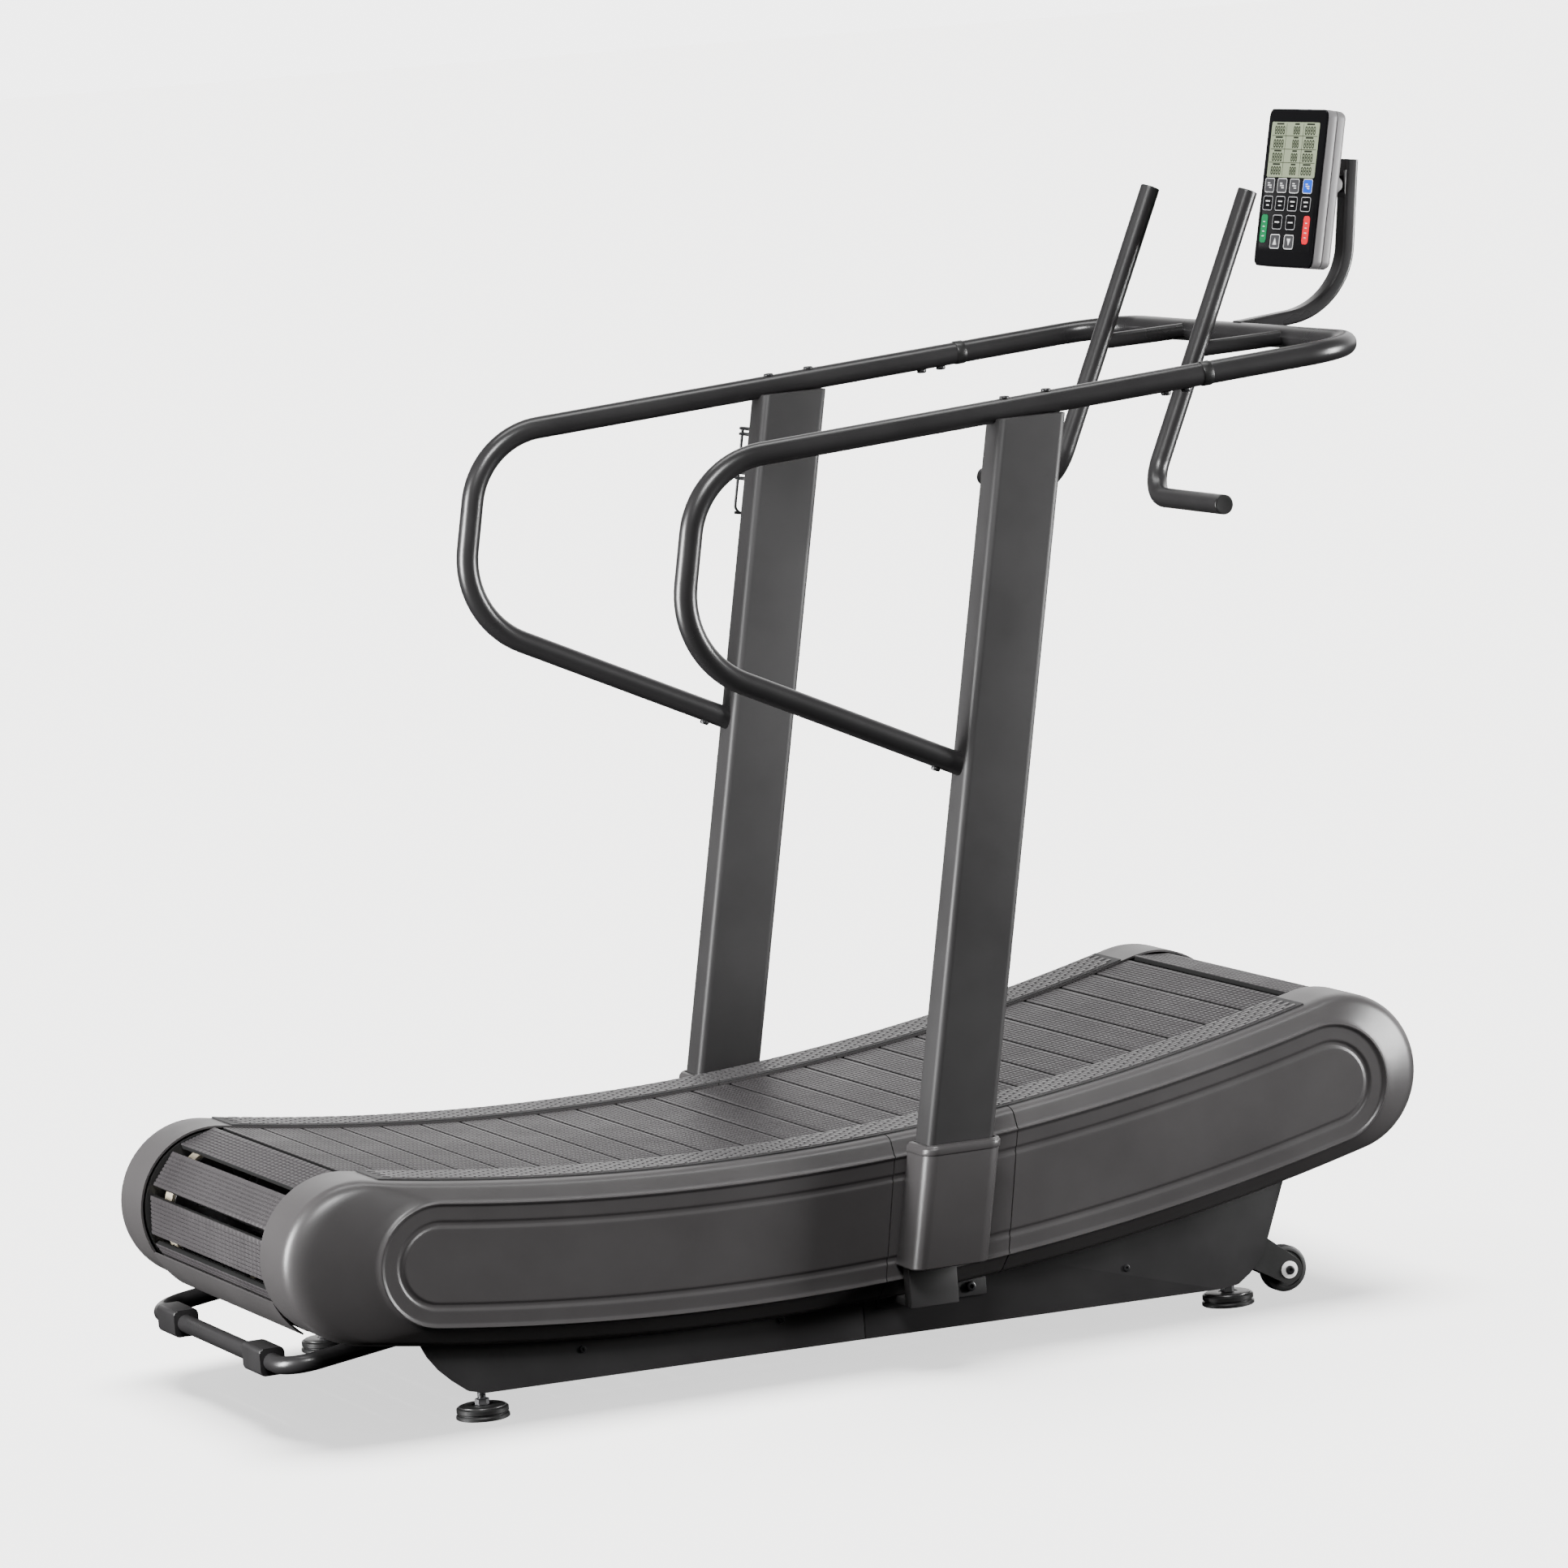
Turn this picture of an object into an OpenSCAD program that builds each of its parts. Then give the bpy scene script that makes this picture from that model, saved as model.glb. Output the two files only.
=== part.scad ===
// Curved manual treadmill.
// Frame: X forward to the console, Y to the runner's left, Z up.
// Origin: on the floor, midway between the two belt shafts.

/* [Running belt] */
// distance between the rear and front shafts
shaft_span = 1450; // [1300:10:1600]
// height of the rear shaft
rear_shaft_z = 236; // [226:1:250]
// height of the front shaft
front_shaft_z = 305; // [290:1:330]
// radius of the running surface over a shaft
wrap_r = 114; // [110:1:116]
// radius of the concave running surface
arc_r = 3500; // [3000:50:5000]
// number of slats in the closed belt
slat_count = 59; // [57:1:62]
// length of a slat across the machine
slat_len = 516; // [480:2:518]
// width of a slat along the run
slat_w = 54; // [48:1:56]

/* [Base] */
// distance from the middle plane to a side cover's outer face
half_width = 400; // [390:1:410]
// radius of the covers' rounded ends
nose_r = 113; // [109:1:117]
// rounding between a cover's rim and its side face
cover_round = 30; // [20:1:34]
// wall of the moulded covers
cover_t = 3; // [2:0.5:4]

/* [Handrails] */
// outside diameter of the handrail tube
rail_d = 32; // [28:1:36]
// distance from the middle plane to a handrail's centreline
rail_y = 429; // [420:1:440]
// forward lean of the uprights, in degrees
lean = 10.75; // [6:0.25:14]
// depth of an upright along the machine
upright_w = 98; // [80:1:110]
// thickness of an upright across the machine
upright_t = 56; // [40:1:56]
// diameter of the pull bars
bar_d = 28; // [25:1:32]
// distance from the middle plane to a pull bar's upper grip
bar_y = 165; // [140:1:200]

/* [Console] */
// width of the console
console_w = 190; // [150:2:220]
// height of the console
console_h = 228; // [200:2:250]
// backward tilt of the console's face, in degrees
console_tilt = 11.4; // [0:0.2:30]

/* [Feet and wheels] */
// radius of a levelling foot's pad
foot_r = 34; // [28:1:38]
// radius of a transport wheel
wheel_r = 33; // [28:1:35]

/* [Hidden] */

$fn = 32;
arc_fn = 720;

// colours
graphite = [0.22, 0.22, 0.23];
cover_grey = [0.36, 0.35, 0.36];
charcoal = [0.16, 0.16, 0.17];
rubber_black = [0.07, 0.07, 0.07];
slat_grey = [0.28, 0.27, 0.28];
steel = [0.72, 0.72, 0.74];
cream = [0.85, 0.82, 0.70];
silver = [0.66, 0.65, 0.66];

// belt path
rear_c = [-shaft_span / 2, rear_shaft_z];
front_c = [shaft_span / 2, front_shaft_z];
shaft_run = front_c - rear_c;
shaft_dist = norm(shaft_run);
beta = atan2(shaft_run[1], shaft_run[0]);
rise = sqrt(pow(arc_r + wrap_r, 2) - pow(shaft_dist / 2, 2));
arc_c = (rear_c + front_c) / 2 + rise * [-sin(beta), cos(beta)];
th_rear = atan2(rear_c[1] - arc_c[1], rear_c[0] - arc_c[0]);
th_front = atan2(front_c[1] - arc_c[1], front_c[0] - arc_c[0]);
pitch_depth = 15;
run_r = arc_r + pitch_depth;
bend_r = wrap_r - pitch_depth;
deg = PI / 180;
len_arc = run_r * (th_front - th_rear) * deg;
ang_front = th_front + 270 - beta;
ang_rear = beta + 90 - th_rear;
len_front = bend_r * ang_front * deg;
len_rear = bend_r * ang_rear * deg;
s1 = len_arc;
s2 = s1 + len_front;
s3 = s2 + shaft_dist;
s4 = s3 + len_rear;
pitch = s4 / slat_count;
s_first = (s1 - pitch / 2) % pitch;
low_dir = [cos(beta - 90), sin(beta - 90)];

function wrap_s(s) = s < 0 ? s + s4 : (s >= s4 ? s - s4 : s);
function seg_of(s) = s < s1 ? 0 : (s < s2 ? 1 : (s < s3 ? 2 : 3));
function polar(c, r, a) = c + r * [cos(a), sin(a)];
function pose_arc(s) = let(a = th_rear + s / run_r / deg) [polar(arc_c, run_r, a), a + 90];
function pose_front(s) =
  let(a = th_front + 180 - (s - s1) / bend_r / deg) [polar(front_c, bend_r, a), a - 90];
function pose_return(s) =
  [front_c + bend_r * low_dir - (s - s2) * shaft_run / shaft_dist, beta + 180];
function pose_rear(s) =
  let(a = beta + 270 - (s - s3) / bend_r / deg) [polar(rear_c, bend_r, a), a - 90];
function pose(s) =
  s < s1 ? pose_arc(s) : (s < s2 ? pose_front(s) : (s < s3 ? pose_return(s) : pose_rear(s)));
function slat_s(k) = s_first + k * pitch;
function seg_now(k) = seg_of(slat_s(k));
function seg_next(k) = seg_of(wrap_s(slat_s(k) - pitch));

// belt and frame positions across the machine
plate_in = 262;
plate_t = 6;
belt_y = 230;
belt_w = 30;
belt_top = 14.4;
belt_t = 5;
pulley_gap = 0.3;
pulley_w = 34;
shaft_r = 12.5;
shaft_half = 296;
plate_inset = 6.5;

// cover outline
cover_arc = arc_r - 2;
cover_low = cover_arc + 2 * nose_r;
strip_t = 2;
strip_lift = 0.02;
rear_end_x = -852;
front_end_x = 848;
function nose_at(x) = [x, arc_c[1] - sqrt(pow(cover_arc + nose_r, 2) - pow(x - arc_c[0], 2))];
rear_nose = nose_at(rear_end_x + nose_r);
front_nose = nose_at(front_end_x - nose_r);
nose_run = front_nose - rear_nose;
nose_beta = atan2(nose_run[1], nose_run[0]);
rim_in = plate_in;
strip_in = 264;
strip_out = 356;
seam_gap = 1.5;
seam_slope = 0.158;
seam_rear_x = 3;
seam_front_x = 187;
seam_z = 117;
panel_rear_x = -642;
panel_front_x = 700;
panel_r = 84.5;
panel_arc = arc_r + 24;
panel_depth = 1.5;
groove_in = 14;
groove_w = 9;
groove_depth = 1.4;

// frame
rail_beam_y0 = 302;
rail_beam_y1 = 346;
beam_z0 = 62;
beam_z1 = 110;
beam_x0 = -600;
beam_x1 = 590;
beam_t = 3;
skirt_y = rail_beam_y1;
skirt_t = 4;
gusset_t = 8;
gussets = [-600, -30, 470];
foot_x = [-573, 550];
foot_y = 324;
wheel_x = 638;
wheel_z = 40;
wheel_y = 324;
wheel_w = 22;

// handrails and uprights
rail_r = rail_d / 2;
rail_slope = 0.067;
function rail_z(x) = 1282.7 + rail_slope * x;
upright_x0 = 107.5;
upright_z0 = 310;
upright_top = 1290;
upright_low = 146;
tan_lean = tan(lean);
function upright_x(z) = upright_x0 + (z - upright_z0) * tan_lean;
collar_x = 560;
loop_x = 822;
loop_bend = 100;
bar_top = [774.5, 1548];
bar_low = [589, 1135];
bar_end_y = 412;
stalk_x = 822;

// console
con_c = [920, 0, 1539];
con_d = 34;
lens_t = 4;
pin_r = 4;
pin_gap = 0.05;
pin_x = 986;
pin_z = 1538;

// ---------- helpers ----------
module right_left(left) {
  if (left) mirror([0, 1, 0]) children();
  else children();
}

// profile drawn as X and Z, filling -y0 down to -y1
module slab(y0, y1) {
  translate([0, -y0, 0]) rotate([90, 0, 0]) linear_extrude(y1 - y0) children();
}

module at_xz(c) {
  translate([c[0], 0, c[1]]) children();
}

module loop2d(c1, r1, c2, r2, ar) {
  run = c2 - c1;
  la = atan2(run[1], run[0]) - 90 + asin((r1 - r2) / norm(run));
  m = [cos(la), sin(la)];
  t1 = arc_c + ar * (c1 - arc_c) / norm(c1 - arc_c);
  t2 = arc_c + ar * (c2 - arc_c) / norm(c2 - arc_c);
  translate(c1) circle(r1, $fn = 64);
  translate(c2) circle(r2, $fn = 64);
  difference() {
    polygon([c1, c1 + r1 * m, c2 + r2 * m, c2, t2, t1]);
    translate(arc_c) circle(ar, $fn = arc_fn);
  }
}

module belt_loop(depth) {
  loop2d(rear_c, wrap_r - depth, front_c, wrap_r - depth, arc_r + depth);
}

module cover_loop(inset) {
  loop2d(rear_nose, nose_r - inset, front_nose, nose_r - inset, cover_arc + inset);
}

// angle about the tread's centre at a given X and radius
function arc_a(x, r) = -acos((x - arc_c[0]) / r);

module wedge2d(a0, a1) {
  far = 2 * arc_r;
  polygon([arc_c, polar(arc_c, far, a0), polar(arc_c, far, (a0 + a1) / 2), polar(arc_c, far, a1)]);
}

module arc_band(r0, r1) {
  difference() {
    translate(arc_c) circle(r1, $fn = arc_fn);
    translate(arc_c) circle(r0, $fn = arc_fn);
  }
}

module panel_loop(inset) {
  mid_r = panel_arc + panel_r;
  a0 = arc_a(panel_rear_x, mid_r);
  a1 = arc_a(panel_front_x, mid_r);
  for (a = [a0, a1]) translate(polar(arc_c, mid_r, a)) circle(panel_r - inset, $fn = 64);
  intersection() {
    arc_band(mid_r - panel_r + inset, mid_r + panel_r - inset);
    wedge2d(a0, a1);
  }
}

module round_rect(w, h, r) {
  square([w - 2 * r, h], center = true);
  square([w, h - 2 * r], center = true);
  for (i = [-1, 1], j = [-1, 1])
    translate([i * (w / 2 - r), j * (h / 2 - r)]) circle(r);
}

// round bar from p to q
module rod(p, q, r) {
  v = q - p;
  translate(p) rotate([0, acos(v[2] / norm(v)), atan2(v[1], v[0])]) cylinder(h = norm(v), r = r);
}

function unit(v) = v / norm(v);

// bend at b, coming from a, leaving for c
module bend(a, b, c, rad) {
  u = unit(b - a);
  v = unit(c - b);
  turn = acos(u * v);
  n = unit(cross(u, v));
  w = cross(n, u);
  o = b - u * rad * tan(turn / 2) + w * rad;
  multmatrix([
    [-w[0], u[0], n[0], o[0]],
    [-w[1], u[1], n[1], o[1]],
    [-w[2], u[2], n[2], o[2]],
    [0, 0, 0, 1]
  ]) rotate_extrude(angle = turn) translate([rad, 0]) children();
}

function cut_in(a, b, c, rad) =
  let(u = unit(b - a), v = unit(c - b), t = rad * tan(acos(u * v) / 2)) [b - u * t, b + v * t];

// hairline left where a straight run meets a bend, bridged by a core inside the tube
seam = 0.02;
core_in = 1;
core_half = 2;

module core(c, dir, r) {
  rod(c - core_half * dir, c + core_half * dir, r - core_in);
}

module run(p, q, from_seam, to_seam, r) {
  u = unit(q - p);
  rod(from_seam ? p + seam * u : p, to_seam ? q - seam * u : q, r);
}

// bent round tube through points p, with bend radii k at the inner points
module tube(p, k, r) {
  n = len(p);
  cuts = [for (i = [1:n - 2]) cut_in(p[i - 1], p[i], p[i + 1], k[i - 1])];
  run(p[0], cuts[0][0], false, true, r);
  for (i = [0:n - 3]) {
    bend(p[i], p[i + 1], p[i + 2], k[i]) circle(r);
    core(cuts[i][0], unit(p[i + 1] - p[i]), r);
    core(cuts[i][1], unit(p[i + 2] - p[i + 1]), r);
  }
  if (n > 3) for (i = [0:n - 4]) run(cuts[i][1], cuts[i + 1][0], true, true, r);
  run(cuts[n - 3][1], p[n - 1], true, false, r);
}

// ---------- base ----------
function low_z(x) = rear_nose[1] - nose_r + (x - rear_nose[0]) * tan(nose_beta);

module beam_box(c) {
  translate([beam_x0 + c, -rail_beam_y1 + c, beam_z0 + c])
    cube([beam_x1 - beam_x0 - 2 * c, rail_beam_y1 - rail_beam_y0 - 2 * c, beam_z1 - beam_z0 - 2 * c]);
}

bracket_t = 3.2;
ear_r = 20;
ear_root = 29;
gusset_lift = 4;
gusset_over = 42;
axle_r = 5;
boss_r = 12;
boss_h = 22;
stud_r = 6;

module wheel_ear(y0) {
  slab(y0, y0 + bracket_t) difference() {
    hull() {
      translate([wheel_x, wheel_z]) circle(ear_r);
      translate([beam_x1 - ear_root - 1, beam_z0]) square([ear_root, beam_z1 - beam_z0 - 6]);
    }
    translate([wheel_x, wheel_z]) circle(axle_r + pin_gap);
  }
}

module side_frame() {
  difference() {
    union() {
      slab(plate_in, plate_in + plate_t) difference() {
        cover_loop(plate_inset);
        translate(rear_c) circle(30);
        translate(front_c) circle(30);
      }
      difference() {
        beam_box(0);
        beam_box(beam_t);
      }
      for (x = gussets) translate([x, -rail_beam_y0 - 1, beam_z0 + gusset_lift])
        cube([gusset_t, rail_beam_y0 + 2 - plate_in - plate_t, low_z(x) - beam_z0 + gusset_lift + gusset_over]);
      for (x = foot_x) translate([x, -foot_y, beam_z0]) cylinder(h = boss_h, r = boss_r);
      wheel_ear(rail_beam_y0);
      wheel_ear(rail_beam_y1 - bracket_t);
    }
    for (x = foot_x) translate([x, -foot_y, beam_z0 - 1])
      cylinder(h = boss_h + 2, r = stud_r + pin_gap);
  }
}

module side_frame_right() { color(rubber_black) side_frame(); }
module side_frame_left() { color(rubber_black) right_left(true) side_frame(); }

cross_x = [-520, 0, 520];
cross_z = [185, 196, 240];
cross_w = 60;
cross_h = 44;
cross_t = 3;

module cross_members() {
  color(graphite) for (i = [0:2]) translate([cross_x[i] - cross_w / 2, -plate_in, cross_z[i]])
    difference() {
      cube([cross_w, 2 * plate_in, cross_h]);
      translate([cross_t, -1, cross_t]) cube([cross_w - 2 * cross_t, 2 * plate_in + 2, cross_h - 2 * cross_t]);
    }
}

skirt_pts = [
  [-665, 150], [-665, 118], [-655, 98], [-640, 78], [-622, 61], [-600, 50], [-575, 45], [528, 28],
  [556, 31], [576, 45], [590, 68], [598, 92], [634, 192], [634, 216]
];
skirt_seam_x = -15;
skirt_seam_depth = 1;
skirt_screw = [-431, -138, 386];
skirt_screw_z = 78;

module skirt() {
  difference() {
    slab(skirt_y, skirt_y + skirt_t) polygon(skirt_pts);
    translate([skirt_seam_x, -skirt_y - skirt_t - 1, 0]) cube([seam_gap, 1 + skirt_seam_depth, 200]);
    for (x = skirt_screw) translate([x, -skirt_y + 1, skirt_screw_z]) rotate([90, 0, 0])
      cylinder(h = skirt_t + 2, r = screw_shank_r + pin_gap);
  }
}

module skirt_right() { color(charcoal) skirt(); }
module skirt_left() { color(charcoal) right_left(true) skirt(); }

// ---------- covers ----------
module nose_section(r, i) {
  translate([0, rim_in - i]) square([r - i, half_width - cover_round - rim_in + i]);
  translate([0, rim_in - i]) square([r - cover_round, half_width - rim_in]);
  translate([r - cover_round, half_width - cover_round]) circle(cover_round - i);
}

// ring-shaped section of the long curved run, inset by i
module band_section(i) {
  r0 = cover_arc;
  r1 = cover_low;
  round_y = half_width - cover_round;
  translate([r0 + i, rim_in - i]) square([r1 - r0 - 2 * i, round_y - rim_in + i]);
  translate([r0 + cover_round, rim_in - i]) square([r1 - r0 - 2 * cover_round, half_width - rim_in]);
  for (r = [r0 + cover_round, r1 - cover_round]) translate([r, round_y]) circle(cover_round - i);
}

module swept(c, from, to, n) {
  at_xz(c) rotate([90, 0, 0]) rotate([0, 0, from]) rotate_extrude(angle = to - from, $fn = n)
    children();
}

cover_a0 = atan2(rear_nose[1] - arc_c[1], rear_nose[0] - arc_c[0]);
cover_a1 = atan2(front_nose[1] - arc_c[1], front_nose[0] - arc_c[0]);
cover_span = 13;

// frame about the tread's centre, local X pointing out at angle a
module frame_at(a) {
  at_xz(arc_c) rotate([90, 0, 0]) rotate([0, 0, a]) children();
}

// a nose and the start of the long curved run behind it
module cover_half(i) {
  translate([cover_arc + nose_r, 0, 0]) rotate([0, 0, 180]) rotate_extrude(angle = 180, $fn = 64)
    nose_section(nose_r, i);
  rotate_extrude(angle = cover_span, $fn = arc_fn) band_section(i);
}

// side -1 is the rear end, 0 the middle, 1 the front end
module cover_solid(side, i) {
  if (side < 0) frame_at(cover_a0) cover_half(i);
  if (side == 0) frame_at(cover_a0) rotate_extrude(angle = cover_a1 - cover_a0, $fn = arc_fn)
    band_section(i);
  if (side > 0) frame_at(cover_a1) mirror([0, 1, 0]) cover_half(i);
}

open_x0 = -800;
open_y = 362;
open_x1 = 780;
open_h = 32;

module cover_shell(side) {
  difference() {
    cover_solid(side, 0);
    cover_solid(side, cover_t);
    slab(rim_in - 5, open_y) intersection() {
      arc_band(cover_low - open_h, cover_low + 30);
      translate([open_x0, 0]) square([open_x1 - open_x0, 300]);
    }
    slab(half_width - panel_depth, half_width + 1) panel_loop(0);
    slab(half_width - panel_depth - groove_depth + 0.5, half_width + 1) difference() {
      panel_loop(groove_in);
      panel_loop(groove_in + groove_w);
    }
  }
}

function seam(x0, z) = x0 + (z - seam_z) * seam_slope;

module cover_part(side, x0, x1) {
  intersection() {
    cover_shell(side);
    slab(rim_in - 10, half_width + 10)
      polygon([[seam(x0, 0), 0], [seam(x1, 0), 0], [seam(x1, 600), 600], [seam(x0, 600), 600]]);
  }
}

far_x = 1000;
module rear_cover() { cover_part(-1, -far_x, seam_rear_x - seam_gap / 2); }
module centre_cover() { cover_part(0, seam_rear_x + seam_gap / 2, seam_front_x - seam_gap / 2); }
module front_cover() { cover_part(1, seam_front_x + seam_gap / 2, far_x); }
module rear_cover_right() { color(cover_grey) rear_cover(); }
module rear_cover_left() { color(cover_grey) right_left(true) rear_cover(); }
module centre_cover_right() { color(cover_grey) centre_cover(); }
module centre_cover_left() { color(cover_grey) right_left(true) centre_cover(); }
module front_cover_right() { color(cover_grey) front_cover(); }
module front_cover_left() { color(cover_grey) right_left(true) front_cover(); }

strip_x0 = -706;
strip_x1 = 684;

module tread_strip() {
  slab(strip_in, strip_out) difference() {
    intersection() {
      translate([strip_x0, 280]) square([strip_x1 - strip_x0, 220]);
      translate(arc_c) circle(cover_arc - strip_lift, $fn = arc_fn);
    }
    translate(arc_c) circle(cover_arc - strip_lift - strip_t, $fn = arc_fn);
  }
}

module tread_strip_right() { color(slat_grey) tread_strip(); }
module tread_strip_left() { color(slat_grey) right_left(true) tread_strip(); }

rear_panel_r = 121;
rear_panel_t = 2.6;
rear_panel_a0 = 204;
rear_panel_a1 = 244;

module rear_panel() {
  color(cover_grey) swept(rear_c, rear_panel_a0, rear_panel_a1, 96)
    translate([rear_panel_r, -plate_in]) square([rear_panel_t, 2 * plate_in]);
}

// ---------- belt drive ----------
module drive_belts() {
  color(cream) for (side = [false, true]) right_left(side)
    slab(belt_y - belt_w / 2, belt_y + belt_w / 2) difference() {
      belt_loop(belt_top);
      belt_loop(belt_top + belt_t);
    }
}

pulley_r = wrap_r - belt_top - belt_t - pulley_gap;

module axis_y(c, y, h) {
  translate([c[0], y + h / 2, c[1]]) rotate([90, 0, 0]) linear_extrude(h) children();
}

module shaft(c) {
  axis_y(c, 0, 2 * shaft_half) circle(shaft_r);
}

module pulleys(c) {
  for (side = [-1, 1]) axis_y(c, side * belt_y, pulley_w) difference() {
    circle(pulley_r, $fn = 64);
    circle(shaft_r);
    for (i = [0:4]) rotate(72 * i) translate([54, 0]) circle(20);
  }
}

module rear_shaft() { color(steel) shaft(rear_c); }
module front_shaft() { color(steel) shaft(front_c); }
module rear_pulleys() { color(steel) pulleys(rear_c); }
module front_pulleys() { color(steel) pulleys(front_c); }

block_t = 20;
module bearing_blocks() {
  color(graphite) for (c = [rear_c, front_c], side = [-1, 1])
    axis_y(c, side * (plate_in + plate_t + block_t / 2), block_t) difference() {
      round_rect(92, 76, 14);
      circle(shaft_r + pin_gap);
    }
}

roller_r = 15;
roller_w = 24;
roller_count = 12;
roller_depth = belt_top + belt_t + pulley_gap + roller_r;
roller_a = 1.75;
roller_mid = (th_rear + th_front) / 2;
roller_pin_r = 5;

module deck_bearings() {
  color(steel) for (i = [0:roller_count - 1], side = [-1, 1]) {
    a = roller_mid + (i - (roller_count - 1) / 2) * roller_a;
    c = polar(arc_c, arc_r + roller_depth, a);
    axis_y(c, side * belt_y, roller_w) circle(roller_r, $fn = 24);
    axis_y(c, side * (belt_y + plate_in) / 2, plate_in - belt_y) circle(roller_pin_r, $fn = 12);
  }
}

// ---------- slats ----------
slat_pts = [
  [-slat_w / 2, 7], [-23, 7], [-23, 3], [23, 3], [23, 7], [slat_w / 2, 7],
  [slat_w / 2, 14], [slat_w / 2 - 1, pitch_depth], [1 - slat_w / 2, pitch_depth], [-slat_w / 2, 14]
];
rib_half = 196;

module slat(k) {
  p = pose(slat_s(k));
  translate([p[0][0], 0, p[0][1]]) rotate([0, -p[1], 0]) {
    translate([0, slat_len / 2, 0]) rotate([90, 0, 0]) linear_extrude(slat_len) polygon(slat_pts);
    translate([-3, -rib_half, -9]) cube([6, 2 * rib_half, 13]);
  }
}

module slats(seg) {
  color(slat_grey) for (k = [0:slat_count - 1])
    if (seg_now(k) == seg && seg_next(k) == seg) slat(k);
}

module crossing(seg) {
  color(slat_grey) for (k = [0:slat_count - 1])
    if (seg_now(k) == seg && seg_next(k) != seg) slat(k);
}

module slats_top() { slats(0); }
module slats_front() { slats(1); }
module slats_return() { slats(2); }
module slats_rear() { slats(3); }
module slat_rear_top() { crossing(0); }
module slat_front_top() { crossing(1); }
module slat_front_low() { crossing(2); }
module slat_rear_low() { crossing(3); }

// ---------- uprights and boots ----------
far_z = 1400;

// bar standing along the upright's lean
module leaned() {
  translate([upright_x(0), -rail_y, 0]) rotate([0, lean, 0]) linear_extrude(far_z) children();
}

module z_band(z0, z1) {
  translate([-400, -600, z0]) cube([1200, 400, z1 - z0]);
}

module rail_cut(x0, x1) {
  translate([x0, -rail_y, rail_z(x0)]) rotate([0, 90 - atan(rail_slope), 0])
    cylinder(h = x1 - x0, r = rail_r);
}

upright_wall = 3;
upright_round = 10;
arm_x0 = 26;
arm_x1 = 98;
arm_z0 = 68;
arm_z1 = 86;
arm_y = 426;
flange_t = 4;
base_bolt_x = [17, 146];
base_bolt_z = 86;
flange_x = [4, 170];
flange_z = [72, 98];

module upright() {
  difference() {
    union() {
      intersection() {
        leaned() difference() {
          round_rect(upright_w, upright_t, upright_round);
          round_rect(upright_w - 2 * upright_wall, upright_t - 2 * upright_wall,
            upright_round - upright_wall);
        }
        z_band(upright_low, upright_top);
      }
      for (z = [upright_low, upright_top - upright_wall]) intersection() {
        leaned() round_rect(upright_w - 1, upright_t - 1, upright_round - 1);
        z_band(z, z + upright_wall);
      }
      translate([arm_x0, -arm_y, arm_z0])
        cube([arm_x1 - arm_x0, arm_y - half_width - 3, upright_low + 1 - arm_z0]);
      translate([arm_x0, -arm_y, arm_z0])
        cube([arm_x1 - arm_x0, arm_y - skirt_y - skirt_t, arm_z1 - arm_z0]);
      translate([flange_x[0], -skirt_y - skirt_t - flange_t, flange_z[0]])
        cube([flange_x[1] - flange_x[0], flange_t, flange_z[1] - flange_z[0]]);
    }
    rail_cut(150, 450);
  }
}

module upright_right() { color(graphite) upright(); }
module upright_left() { color(graphite) right_left(true) upright(); }

boot_half = 56;
boot_wall = 3;
boot_y = 470;
boot_z0 = 139;
boot_z1 = 308;
boot_lip = 8;
boot_gap = 2;

module boot_section(i) {
  y0 = half_width + 0.4 - i;
  w = 2 * (boot_half - i);
  round_rect_at(w, boot_y - i - y0, 14 - i, -(boot_y - i + y0) / 2 + rail_y);
  translate([-w / 2, -y0 - 20 + rail_y]) square([w, 20]);
}

module round_rect_at(w, h, r, y) {
  translate([0, y]) round_rect(w, h, r);
}

module boot() {
  difference() {
    union() {
      intersection() {
        leaned() boot_section(0);
        z_band(boot_z0, boot_z1);
      }
      intersection() {
        leaned() boot_section(-1.6);
        z_band(boot_z1 - boot_lip - 4, boot_z1 - 4);
        translate([-400, -600, 0]) cube([1200, 600 - half_width - 0.4, 500]);
      }
    }
    intersection() {
      leaned() boot_section(boot_wall);
      z_band(boot_z0 - 20, boot_z1 - boot_lip);
    }
    leaned() round_rect(upright_w + 2 * boot_gap, upright_t + 2 * boot_gap, upright_round + boot_gap);
  }
}

module boot_right() { color(cover_grey) boot(); }
module boot_left() { color(cover_grey) right_left(true) boot(); }

// ---------- handrails and bars ----------
rail_v1 = [-193.7, 1269.7];
rail_v2 = [-242.7, 1011.9];
rail_end = [175, 813.9];

function side_pt(p, y) = [p[0], y, p[1]];

module handrail() {
  difference() {
    tube([side_pt([collar_x, rail_z(collar_x)], -rail_y), side_pt(rail_v1, -rail_y),
      side_pt(rail_v2, -rail_y), side_pt(rail_end, -rail_y)], [120, 130], rail_r);
    intersection() {
      leaned() round_rect(upright_w, upright_t, upright_round);
      z_band(700, 1000);
    }
  }
}

module handrail_right() { color(graphite) handrail(); }
module handrail_left() { color(graphite) right_left(true) handrail(); }

front_z = rail_z(loop_x) + 0.2;

module front_loop() {
  p = [collar_x, -rail_y, rail_z(collar_x)];
  q = [loop_x, -rail_y, front_z];
  color(graphite) {
    tube([p, q, [loop_x, rail_y, front_z], [collar_x, rail_y, rail_z(collar_x)]],
      [loop_bend, loop_bend], rail_r);
    for (side = [false, true]) right_left(side) rod(p, p + 14 * unit(q - p), rail_r + 1.2);
  }
}

bar_r = bar_d / 2;
bar_bend = 55;
strut_r = 11;
bar_dir = unit([bar_top[0] - bar_low[0], 0, bar_top[1] - bar_low[1]]);
strut_z = 1334;
strut_x = bar_low[0] + (strut_z - bar_low[1]) * bar_dir[0] / bar_dir[2];

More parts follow.
